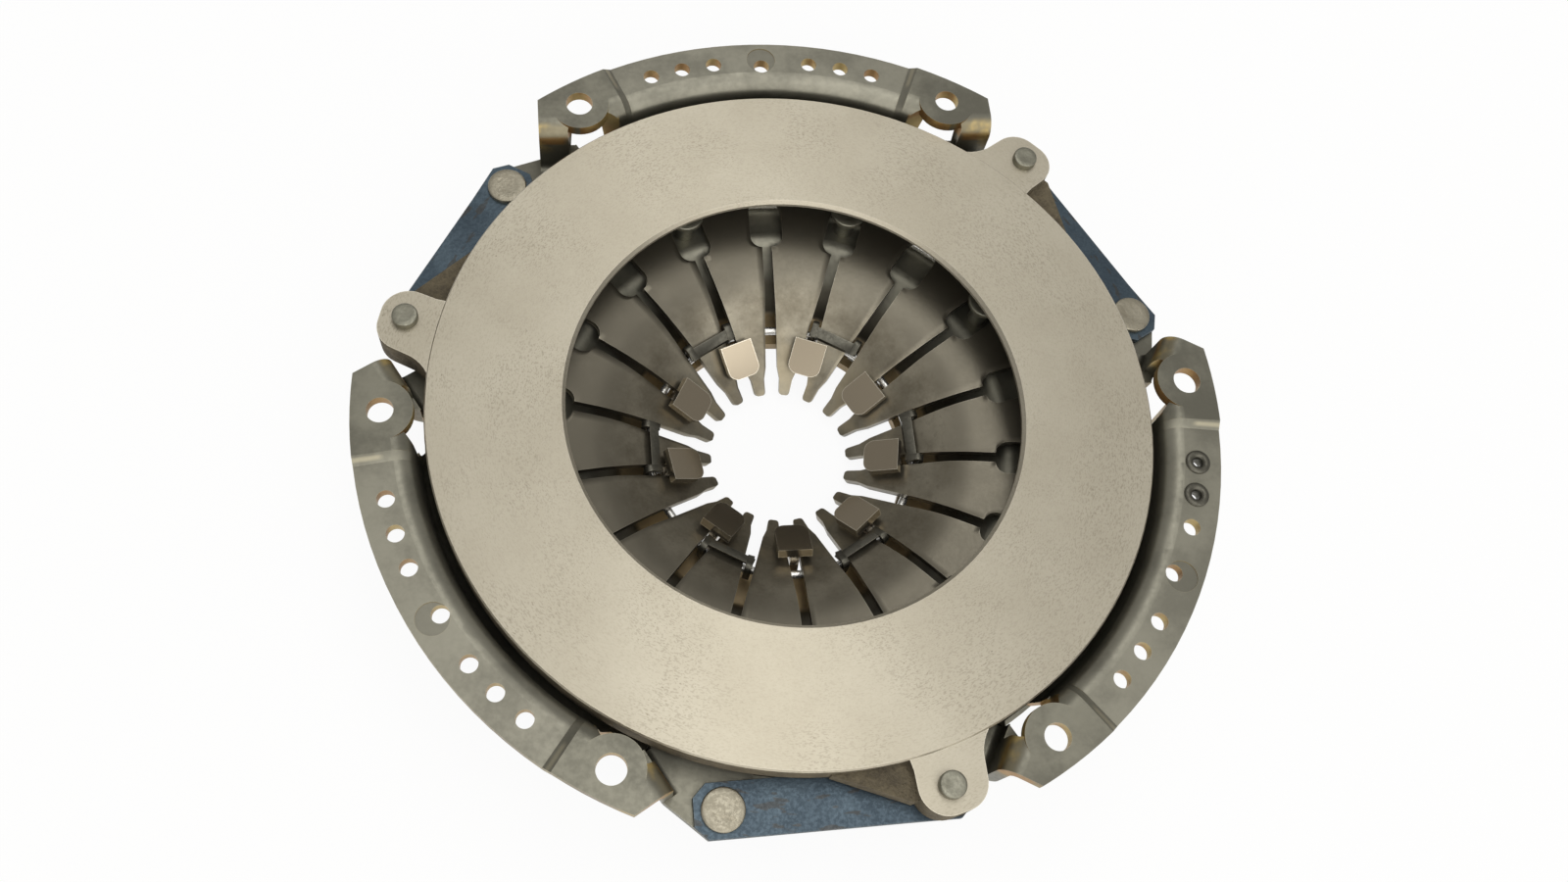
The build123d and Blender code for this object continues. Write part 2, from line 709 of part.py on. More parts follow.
# Straps and their rivets
shelf_tail = -shelf_top - sheet - seat_gap
shelf_levels = (
    (shelf_rivet_head_r, -shelf_rivet_top, -shelf_rivet_top - shelf_rivet_head),
    (rivet_shank_r, -shelf_rivet_top - shelf_rivet_head, shelf_tail),
    (tail_head_r, shelf_tail, shelf_tail - tail_head),
)
lug_tail = -strap_lug_top - strap_pack - run_gap
lug_levels = (
    (lug_rivet_head_r, -lug_rivet_top, lug_face + seat_gap),
    (rivet_shank_r, lug_face + seat_gap, lug_tail),
    (tail_head_r, lug_tail, lug_tail - tail_head),
)
for wing_index, angle in enumerate(wing_angles):
    number = wing_index + 1
    shelf_point = polar(shelf_rivet_r, angle - shelf_rivet_offset_angle)
    lug_point = polar(lug_rivet_r, angle - lug_offset_angle)
    strap_length = hypot(lug_point[0] - shelf_point[0], lug_point[1] - shelf_point[1])
    strap_dir = (
        (lug_point[0] - shelf_point[0]) / strap_length,
        (lug_point[1] - shelf_point[1]) / strap_length,
        0,
    )
    strap_side = Plane(
        origin=shelf_point, x_dir=strap_dir, z_dir=(strap_dir[1], -strap_dir[0], 0)
    )
    strap_plan = Plane(origin=shelf_point, x_dir=strap_dir, z_dir=(0, 0, 1))
    for leaf_index in range(leaf_count):
        lower = leaf_index * (leaf_thickness + seat_gap)
        shelf_end_z = -strap_shelf_top - lower
        lug_end_z = -strap_lug_top - lower
        leaf_path = [
            (-strap_end, shelf_end_z),
            (strap_flat, shelf_end_z),
            (strap_length - strap_flat, lug_end_z),
            (strap_length + strap_end, lug_end_z),
        ]
        with BuildPart() as leaf:
            with BuildSketch(strap_side):
                add(bent_sheet(leaf_path, leaf_thickness, strap_bend_r))
            extrude(amount=strap_width / 2, both=True)
            with BuildSketch(strap_plan):
                with Locations((strap_length / 2, 0)):
                    outline = Rectangle(strap_length + 2 * strap_end, strap_width)
                    chamfer(outline.vertices(), strap_clip)
                Circle(rivet_shank_r + seat_gap, mode=Mode.SUBTRACT)
                with Locations((strap_length, 0)):
                    Circle(rivet_shank_r + run_gap, mode=Mode.SUBTRACT)
            extrude(amount=-hub_depth, mode=Mode.INTERSECT)
        leaf_name = f"strap_{number}_leaf_{leaf_index + 1}"
        leaf.part.label = leaf_name
        export_step(leaf.part, f"parts/{leaf_name}.step")
    with BuildPart() as shelf_rivet:
        with BuildSketch(Plane(origin=shelf_point, x_dir=(1, 0, 0), z_dir=(0, -1, 0))):
            add(rivet_section(shelf_levels, shelf_rivet_edge))
        revolve(axis=Axis(shelf_point, (0, 0, 1)))
    shelf_rivet.part.label = f"strap_cover_rivet_{number}"
    export_step(shelf_rivet.part, f"parts/strap_cover_rivet_{number}.step")
    with BuildPart() as lug_rivet:
        with BuildSketch(Plane(origin=lug_point, x_dir=(1, 0, 0), z_dir=(0, -1, 0))):
            add(rivet_section(lug_levels, lug_rivet_edge))
        revolve(axis=Axis(lug_point, (0, 0, 1)))
    lug_rivet.part.label = f"strap_lug_rivet_{number}"
    export_step(lug_rivet.part, f"parts/strap_lug_rivet_{number}.step")

# Finger ring and the clips that hold it to the fingers
with BuildPart() as finger_ring:
    with BuildSketch(radial_plane(0)):
        with Locations((finger_ring_r, finger_ring_z)):
            Circle(finger_ring_wire_r)
    revolve(axis=Axis.Z)
finger_ring.part.label = "finger_ring"
export_step(finger_ring.part, "parts/finger_ring.step")

clip_lift = (2 * run_gap + clip_sheet) / finger_normal
clip_foot_z = finger_ring_z - finger_ring_wire_r - seat_gap - clip_sheet
half_pitch = 180.0 / finger_count
clip_half_width = clip_bar_outer_r * sin(radians(half_pitch)) + clip_leg_width / 2
leg_path = [
    (clip_bar_inner_r, spring_top(clip_bar_inner_r) + clip_lift),
    (clip_leg_r, spring_top(clip_leg_r) + clip_lift),
    (clip_leg_r, clip_foot_z),
    (finger_ring_r - finger_ring_wire_r / 2, clip_foot_z),
]
bar_under = 2 * run_gap / finger_normal
for clip_index in range(clip_count):
    clip_angle = clip_first_angle - clip_index * 360.0 / clip_count
    with BuildPart() as clip:
        with BuildSketch(radial_plane(clip_angle)):
            with BuildLine():
                Polyline(
                    (clip_bar_inner_r, spring_top(clip_bar_inner_r) + clip_lift),
                    (clip_bar_outer_r, spring_top(clip_bar_outer_r) + clip_lift),
                    (clip_bar_outer_r, spring_top(clip_bar_outer_r) + bar_under),
                    (clip_bar_inner_r, spring_top(clip_bar_inner_r) + bar_under),
                    close=True,
                )
            make_face()
        extrude(amount=clip_half_width, both=True)
        for side in (-1, 1):
            with BuildSketch(radial_plane(clip_angle + side * half_pitch)):
                add(bent_sheet(leg_path, clip_sheet, clip_bend_r))
            extrude(amount=clip_leg_width / 2, both=True)
    clip_name = f"finger_clip_{clip_index + 1}"
    clip.part.label = clip_name
    export_step(clip.part, f"parts/{clip_name}.step")

# Balance rivets
strip_under = -strip_drop - sheet - seat_gap
balance_levels = (
    (balance_head_r, -strip_drop + seat_gap + balance_head, -strip_drop + seat_gap),
    (balance_tube_r, -strip_drop + seat_gap, strip_under),
    (balance_head_r, strip_under, strip_under - balance_head),
)
with BuildPart() as balance_rivet:
    with BuildSketch(radial_plane(0)):
        add(rivet_section(balance_levels, balance_head / 2))
    revolve(axis=Axis.Z)
    with BuildSketch():
        Circle(balance_bore_r)
    extrude(amount=hub_depth, both=True, mode=Mode.SUBTRACT)

with BuildPart() as balance_rivets:
    for angle in small_hole_angles[1:]:
        with Locations(polar(small_hole_circle_r, wing_angles[balance_wing] + angle)):
            add(balance_rivet.part)
balance_rivets.part.label = "balance_rivets"
export_step(balance_rivets.part, "parts/balance_rivets.step")
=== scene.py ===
"""Looks of a clutch pressure plate: ground iron ring, pressed cover, cone spring, blued straps.

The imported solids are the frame. What repeats round the shaft axis is remade in finer form
with Geometry Nodes, and every surface gets a procedural finish. Sizes are in mm and degrees
where nothing else is said; the scales of patterns are in waves per metre.
"""
from __future__ import annotations

import json
import logging
import math
from dataclasses import dataclass, field
from enum import Enum
from typing import Sequence

import bmesh
import bpy
from mathutils import Matrix, Vector

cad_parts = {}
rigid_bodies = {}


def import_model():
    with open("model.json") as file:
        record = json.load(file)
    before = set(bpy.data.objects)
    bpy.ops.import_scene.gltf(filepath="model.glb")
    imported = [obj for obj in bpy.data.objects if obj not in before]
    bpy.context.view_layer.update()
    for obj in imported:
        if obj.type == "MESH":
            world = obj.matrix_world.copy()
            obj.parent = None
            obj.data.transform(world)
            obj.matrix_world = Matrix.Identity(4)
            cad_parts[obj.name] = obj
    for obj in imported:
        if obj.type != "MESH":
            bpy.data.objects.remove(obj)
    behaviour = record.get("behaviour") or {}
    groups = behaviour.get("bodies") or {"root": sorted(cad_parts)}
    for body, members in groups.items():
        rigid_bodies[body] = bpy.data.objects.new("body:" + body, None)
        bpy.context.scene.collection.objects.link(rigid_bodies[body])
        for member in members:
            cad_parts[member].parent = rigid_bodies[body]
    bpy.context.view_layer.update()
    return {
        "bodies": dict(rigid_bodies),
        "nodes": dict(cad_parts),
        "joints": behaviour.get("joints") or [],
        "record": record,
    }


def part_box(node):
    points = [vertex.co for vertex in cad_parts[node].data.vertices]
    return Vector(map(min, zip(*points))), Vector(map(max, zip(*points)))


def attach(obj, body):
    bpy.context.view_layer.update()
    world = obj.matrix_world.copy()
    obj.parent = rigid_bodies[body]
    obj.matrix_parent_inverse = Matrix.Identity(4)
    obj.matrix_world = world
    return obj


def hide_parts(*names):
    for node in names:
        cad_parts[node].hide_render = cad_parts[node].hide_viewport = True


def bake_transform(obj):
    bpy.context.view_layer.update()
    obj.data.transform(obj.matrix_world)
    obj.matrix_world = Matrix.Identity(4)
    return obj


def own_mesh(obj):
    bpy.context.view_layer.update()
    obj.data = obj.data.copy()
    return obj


MM = 0.001
FULL_TURN = 360.0
WINGS = 3
WING_PITCH = FULL_TURN / WINGS
WING_0_ANGLE = 90.0
LOG = logging.getLogger("clutch")

Colour = tuple[float, float, float]
Point2 = tuple[float, float]
Point3 = tuple[float, float, float]
Socket = bpy.types.NodeSocket


class Body(Enum):
    """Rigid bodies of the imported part."""

    COVER = "cover"
    PLATE = "plate"
    FINGER_RING = "finger_ring"


class Slot(Enum):
    """Material slots of the record, passed along with the remade pieces."""

    SPRING = "spring_steel"
    BLUED = "blued_steel"
    RIVET = "rivet_steel"
    DARK = "dark_steel"


class Graph:
    """Short ways to add and join nodes in one shader tree.

    A Mix node has several sockets of each name, so those of its colours are found by place.
    """

    mix_inputs = (0, 6, 7)
    mix_output = 2

    def __init__(self, tree: bpy.types.NodeTree) -> None:
        """Keep the tree.

        Args:
            tree: shader tree that gets the nodes.
        """
        self.tree = tree

    def node(self, kind: str, **settings: object) -> bpy.types.Node:
        """Add a node and set its properties.

        Args:
            kind: Blender's type name of the node.
            settings: property names and values.

        Returns:
            The new node.
        """
        made = self.tree.nodes.new(kind)
        for name, value in settings.items():
            setattr(made, name, value)
        return made

    def feed(self, target: Socket, value: object) -> None:
        """Link a socket into a target, or set the target's own value.

        Args:
            target: input socket.
            value: output socket, number, or colour.
        """
        if isinstance(value, bpy.types.NodeSocket):
            self.tree.links.new(value, target)
        elif target.type == "RGBA":
            target.default_value = (*value[:3], 1.0)
        else:
            target.default_value = value

    def math(self, operation: str, first: object, second: object = 0.0) -> Socket:
        """Add a Math node.

        Args:
            operation: name of the operation.
            first: socket or number.
            second: socket or number.

        Returns:
            The result's socket.
        """
        made = self.node("ShaderNodeMath", operation=operation)
        self.feed(made.inputs[0], first)
        self.feed(made.inputs[1], second)
        return made.outputs[0]

    def times(self, first: object, *others: object) -> Socket:
        """Multiply two or more values.

        Args:
            first: socket or number.
            others: sockets or numbers.

        Returns:
            The product's socket.
        """
        for other in others:
            first = self.math("MULTIPLY", first, other)
        return first

    def most(self, first: object, *others: object) -> Socket:
        """Take the largest of two or more values.

        Args:
            first: socket or number.
            others: sockets or numbers.

        Returns:
            The largest value's socket.
        """
        for other in others:
            first = self.math("MAXIMUM", first, other)
        return first

    def reach(self, first: Socket, second: Socket) -> Socket:
        """Length of a step with two sides.

        Args:
            first: socket of one side.
            second: socket of the other side.

        Returns:
            The length's socket.
        """
        squares = self.math("ADD", self.times(first, first), self.times(second, second))
        return self.math("SQRT", squares)

    def joined(self, *sides: object) -> Socket:
        """Join three values into a vector.

        Args:
            sides: sockets or numbers for X, Y and Z.

        Returns:
            The vector's socket.
        """
        made = self.node("ShaderNodeCombineXYZ")
        for target, side in zip(made.inputs, sides):
            self.feed(target, side)
        return made.outputs[0]

    def split(self, vector: Socket) -> bpy.types.NodeOutputs:
        """Split a vector into its sides.

        Args:
            vector: the vector's socket.

        Returns:
            The sockets of X, Y and Z.
        """
        made = self.node("ShaderNodeSeparateXYZ")
        self.feed(made.inputs[0], vector)
        return made.outputs

    def ramp(self, value: Socket, low: float, high: float, start: float = 0.0,
             end: float = 1.0) -> Socket:
        """Add a smooth step from one level to another.

        Args:
            value: socket that is read.
            low: value where the step starts.
            high: value where it ends.
            start: level below low.
            end: level above high.

        Returns:
            The level's socket.
        """
        made = self.node("ShaderNodeMapRange", interpolation_type="SMOOTHSTEP")
        limits = {"From Min": low, "From Max": high, "To Min": start, "To Max": end}
        for name, level in limits.items():
            made.inputs[name].default_value = level
        self.feed(made.inputs["Value"], value)
        return made.outputs["Result"]

    def band(self, value: Socket, rise: Point2, fall: Point2) -> Socket:
        """Make the mask of a band, which goes up over one span and down over another.

        Args:
            value: socket that is read.
            rise: values where the mask goes up.
            fall: values where it goes down.

        Returns:
            The mask's socket.
        """
        return self.times(self.ramp(value, *rise), self.ramp(value, *fall, 1.0, 0.0))

    def mix(self, factor: object, first: object, second: object) -> Socket:
        """Mix two colours.

        Args:
            factor: socket or number from 0 to 1.
            first: colour at 0.
            second: colour at 1.

        Returns:
            The mixed colour's socket.
        """
        made = self.node("ShaderNodeMix", data_type="RGBA", clamp_factor=True)
        for index, value in zip(self.mix_inputs, (factor, first, second)):
            self.feed(made.inputs[index], value)
        return made.outputs[self.mix_output]

    def noise(self, vector: Socket, scale: object, detail: float = 3.0,
              rough: float = 0.55) -> Socket:
        """Add a noise texture.

        Args:
            vector: coordinates in metres.
            scale: socket or number, in waves per metre.
            detail: octaves.
            rough: weight of the fine octaves.

        Returns:
            The noise level's socket.
        """
        made = self.node("ShaderNodeTexNoise")
        self.feed(made.inputs["Vector"], vector)
        self.feed(made.inputs["Scale"], scale)
        made.inputs["Detail"].default_value = detail
        made.inputs["Roughness"].default_value = rough
        return made.outputs["Fac"]

    def group(self, tree: bpy.types.NodeTree, **inputs: object) -> bpy.types.NodeOutputs:
        """Place a node group.

        Args:
            tree: the group's tree.
            inputs: values by socket name, with _ for spaces.

        Returns:
            The group's output sockets.
        """
        made = self.node("ShaderNodeGroup", node_tree=tree)
        for name, value in inputs.items():
            self.feed(made.inputs[name.replace("_", " ")], value)
        return made.outputs


class EffectGroup:
    """Base of the shared effects: a shader node group with named sockets."""

    title = "Effect"
    takes: tuple[tuple[str, str, object], ...] = ()
    gives: tuple[tuple[str, str], ...] = ()

    def __init__(self) -> None:
        """Build the group's tree."""
        self.tree = bpy.data.node_groups.new(self.title, "ShaderNodeTree")
        for name, kind, default in self.takes:
            socket = self.tree.interface.new_socket(name, in_out="INPUT", socket_type=kind)
            if default is not None:
                socket.default_value = default
        for name, kind in self.gives:
            self.tree.interface.new_socket(name, in_out="OUTPUT", socket_type=kind)
        self.graph = Graph(self.tree)
        self.inside = self.tree.nodes.new("NodeGroupInput").outputs
        self.result = self.tree.nodes.new("NodeGroupOutput").inputs
        self.wire()

    def wire(self) -> None:
        """Join the group's nodes; each effect has its own."""

    def give(self, **values: object) -> None:
        """Feed the group's outputs.

        Args:
            values: sockets by output name, with _ for spaces.
        """
        for name, value in values.items():
            self.graph.feed(self.result[name.replace("_", " ")], value)


class WingPlace(EffectGroup):
    """Where a point lies on the part: radius, angle from its wing's middle, and height."""

    title = "Wing place"
    gives = (
        ("Radius", "NodeSocketFloat"),
        ("Wing Angle", "NodeSocketFloat"),
        ("Wing X", "NodeSocketFloat"),
        ("Wing Y", "NodeSocketFloat"),
        ("Height", "NodeSocketFloat"),
        ("Ring Vector", "NodeSocketVector"),
        ("Upward", "NodeSocketFloat"),
        ("Object", "NodeSocketVector"),
    )
    ring_arc_radius = 0.1

    def wire(self) -> None:
        """Turn Object coordinates into polar ones."""
        g = self.graph
        where = g.node("ShaderNodeTexCoord").outputs
        x, y, z = g.split(where["Object"])
        radius = g.reach(x, y)
        angle = g.math("ARCTAN2", y, x)
        half_pitch = WING_PITCH / 2
        turned_by = g.math("ADD", g.math("DEGREES", angle), FULL_TURN - WING_0_ANGLE + half_pitch)
        wing = g.math("SUBTRACT", g.math("FLOORED_MODULO", turned_by, WING_PITCH), half_pitch)
        reach = g.math("DIVIDE", radius, MM)
        lean = g.math("RADIANS", wing)
        self.give(
            Radius=reach,
            Wing_Angle=wing,
            Wing_X=g.times(reach, g.math("COSINE", lean)),
            Wing_Y=g.times(reach, g.math("SINE", lean)),
            Height=g.math("DIVIDE", z, MM),
            Ring_Vector=g.joined(g.times(angle, self.ring_arc_radius), radius, z),
            Upward=g.split(where["Normal"])[2],
            Object=where["Object"],
        )


class Mottle(EffectGroup):
    """Cloudy stains at two scales, as on rolled and heat-treated steel."""

    title = "Mottle"
    takes = (
        ("Vector", "NodeSocketVector", None),
        ("Broad Scale", "NodeSocketFloat", 30.0),
        ("Fine Scale", "NodeSocketFloat", 400.0),
        ("Fine Share", "NodeSocketFloat", 0.35),
    )
    gives = (("Cloud", "NodeSocketFloat"), ("Grain", "NodeSocketFloat"))
    broad_detail = 5.0
    fine_detail = 3.0
    rough = 0.6
    levels = (0.3, 0.7)

    def wire(self) -> None:
        """Add a broad and a fine noise."""
        g = self.graph
        where, share = self.inside["Vector"], self.inside["Fine Share"]
        broad = g.noise(where, self.inside["Broad Scale"], self.broad_detail, self.rough)
        fine = g.noise(where, self.inside["Fine Scale"], self.fine_detail, self.rough)
        grain = g.ramp(fine, *self.levels)
        cloud = g.times(g.ramp(broad, *self.levels), g.math("SUBTRACT", 1.0, share))
        self.give(Cloud=g.math("ADD", cloud, g.times(grain, share)), Grain=grain)


class Dashes(EffectGroup):
    """Short dark pores drawn out along the grinding direction."""

    title = "Dashes"
    takes = (
        ("Vector", "NodeSocketVector", None),
        ("Scale", "NodeSocketFloat", 900.0),
        ("Stretch", "NodeSocketFloat", 0.3),
        ("Threshold", "NodeSocketFloat", 0.66),
    )
    gives = (("Mask", "NodeSocketFloat"),)
    detail = 2.0
    rough = 0.5
    softness = 0.06

    def wire(self) -> None:
        """Squeeze the coordinates along the first axis and cut a noise at a threshold."""
        g = self.graph
        pulled = g.node("ShaderNodeVectorMath", operation="MULTIPLY")
        g.feed(pulled.inputs[0], self.inside["Vector"])
        g.feed(pulled.inputs[1], g.joined(self.inside["Stretch"], 1.0, 1.0))
        level = g.noise(pulled.outputs[0], self.inside["Scale"], self.detail, self.rough)
        edge = g.math("SUBTRACT", level, self.inside["Threshold"])
        self.give(Mask=g.ramp(edge, 0.0, self.softness))


class EdgeWearAndGlint(EffectGroup):
    """Edges rubbed pale by handling, also used as painted highlights along edges; the reach is in
    metres.
    """

    title = "Edge wear and glint"
    takes = (("Reach", "NodeSocketFloat", 0.0005),)
    gives = (("Edge", "NodeSocketFloat"),)
    samples = 6
    likeness = (0.8, 0.985)

    def wire(self) -> None:
        """Compare the surface's normal with the one that a rounded edge would have."""
        g = self.graph
        rounded = g.node("ShaderNodeBevel", samples=self.samples)
        g.feed(rounded.inputs["Radius"], self.inside["Reach"])
        alike = g.node("ShaderNodeVectorMath", operation="DOT_PRODUCT")
        g.feed(alike.inputs[0], rounded.outputs[0])
        g.feed(alike.inputs[1], g.node("ShaderNodeNewGeometry").outputs["Normal"])
        self.give(Edge=g.ramp(alike.outputs["Value"], *self.likeness, 1.0, 0.0))


@dataclass
class Effects:
    """The shared effects, built once."""

    place: WingPlace = field(default_factory=WingPlace)
    mottle: Mottle = field(default_factory=Mottle)
    dashes: Dashes = field(default_factory=Dashes)
    edges: EdgeWearAndGlint = field(default_factory=EdgeWearAndGlint)


@dataclass(frozen=True)
class Clouds:
    """Stains of one finish: broad and fine scale, and the weight of the fine ones."""

    broad: float
    fine: float = 900.0
    fine_share: float = 0.35

    def over(self, g: Graph, fx: Effects, place: bpy.types.NodeOutputs) -> bpy.types.NodeOutputs:
        """Lay the stains over a surface.

        Args:
            g: graph of the material.
            fx: shared effects.
            place: outputs of the place group.

        Returns:
            The sockets Cloud and Grain.
        """
        return g.group(fx.mottle.tree, Vector=place["Object"], Broad_Scale=self.broad,
                       Fine_Scale=self.fine, Fine_Share=self.fine_share)


@dataclass(frozen=True)
class Marks:
    """Small dark marks of one finish: scale, squeeze along the grain, and least level."""

    scale: float
    stretch: float
    threshold: float

    def over(self, g: Graph, fx: Effects, place: bpy.types.NodeOutputs) -> Socket:
        """Lay the marks round the shaft axis.

        Args:
            g: graph of the material.
            fx: shared effects.
            place: outputs of the place group.

        Returns:
            The mask's socket.
        """
        return g.group(fx.dashes.tree, Vector=place["Ring Vector"], Scale=self.scale,
                       Stretch=self.stretch, Threshold=self.threshold)["Mask"]


@dataclass(frozen=True)
class Finish:
    """Base of every finish: names the material and adds its shader."""

    name: str

    def start(self) -> tuple[Graph, bpy.types.Node, bpy.types.Material]:
        """Make the material and its shader.

        Returns:
            The graph, the shader node and the material.
        """
        material = bpy.data.materials.new(self.name)
        material.use_nodes = True
        graph = Graph(material.node_tree)
        return graph, material.node_tree.nodes["Principled BSDF"], material

    def relief(self, g: Graph, shader: bpy.types.Node, height: Socket, depth: float) -> None:
        """Feed a height into the shader's normal.

        Args:
            g: graph of the material.
            shader: its Principled BSDF.
            height: level from 0 to 1.
            depth: depth of the relief in metres.
        """
        bump = g.node("ShaderNodeBump")
        bump.inputs["Distance"].default_value = depth
        g.feed(bump.inputs["Height"], height)
        g.feed(shader.inputs["Normal"], bump.outputs["Normal"])

    def build(self, fx: Effects) -> bpy.types.Material:
        """Make the material; each finish has its own."""
        raise NotImplementedError(self.name)


@dataclass(frozen=True)
class GroundIron(Finish):
    """Cast iron: a beige-grey ground face with fine dark pores, and brown rough cast elsewhere.

    Pairs give where a step starts and ends, or a level on the cast skin and on the ground face.
    """

    ground: Colour = (0.4, 0.362, 0.282)
    pale: Colour = (0.46, 0.422, 0.336)
    pore: Colour = (0.2, 0.175, 0.128)
    cast: Colour = (0.15, 0.122, 0.074)
    cast_dark: Colour = (0.07, 0.056, 0.035)
    # edge colour: partly worn metal, partly a painted highlight
    bare_and_glint: Colour = (0.72, 0.67, 0.55)
    bare_and_glint_share: float = 0.8
    wear_and_glint_reach: float = 0.0006
    level_lean: Point2 = (0.55, 0.75)
    face_height: Point2 = (-5.6, -5.4)
    bore_r: Point2 = (78.1, 78.3)
    bore_height: Point2 = (-9.4, -9.0)
    stains: Clouds = Clouds(22.0, fine_share=0.25)
    skin: Clouds = Clouds(160.0)
    skin_depth: float = 0.0004
    dust: Marks = Marks(2400.0, 0.45, 0.54)
    dust_share: float = 0.36
    pores: Marks = Marks(1500.0, 0.55, 0.665)
    pore_share: float = 0.75
    patch_scale: float = 26.0
    patch_levels: Point2 = (0.4, 0.62)
    patch_least: float = 0.3
    metallic: Point2 = (0.35, 0.92)
    rough: Point2 = (0.72, 0.42)
    grain_turn: float = 0.25
    grain_pull: float = 0.6

    def build(self, fx: Effects) -> bpy.types.Material:
        """Make the material.

        Args:
            fx: shared effects.

        Returns:
            The material.
        """
        g, shader, material = self.start()
        place = g.group(fx.place.tree)
        face = g.times(g.ramp(place["Upward"], *self.level_lean),
                       g.ramp(place["Height"], *self.face_height))
        bore = g.times(g.ramp(place["Radius"], *self.bore_r, 1.0, 0.0),
                       g.ramp(place["Height"], *self.bore_height))
        ground = g.most(face, bore)
        colour = g.mix(self.stains.over(g, fx, place)["Cloud"], self.ground, self.pale)
        patches = g.ramp(g.noise(place["Object"], self.patch_scale), *self.patch_levels,
                         self.patch_least, 1.0)
        fine = g.times(self.dust.over(g, fx, place), patches, self.dust_share)
        deep = g.times(self.pores.over(g, fx, place), patches, self.pore_share)
        colour = g.mix(g.most(fine, deep), colour, self.pore)
        # pale edges: partly worn metal, partly a painted highlight on the ring's edges and
        # chamfers
        rim = g.group(fx.edges.tree, Reach=self.wear_and_glint_reach)["Edge"]
        colour = g.mix(g.times(rim, self.bare_and_glint_share), colour, self.bare_and_glint)
        lumps = self.skin.over(g, fx, place)["Cloud"]
        cast = g.mix(lumps, self.cast_dark, self.cast)
        g.feed(shader.inputs["Base Color"], g.mix(ground, cast, colour))
        g.feed(shader.inputs["Metallic"], g.ramp(ground, 0.0, 1.0, *self.metallic))
        g.feed(shader.inputs["Roughness"], g.ramp(ground, 0.0, 1.0, *self.rough))
        shader.inputs["Anisotropic"].default_value = self.grain_pull
        shader.inputs["Anisotropic Rotation"].default_value = self.grain_turn
        height = g.times(lumps, g.math("SUBTRACT", 1.0, ground))
        self.relief(g, shader, height, self.skin_depth)
        return material


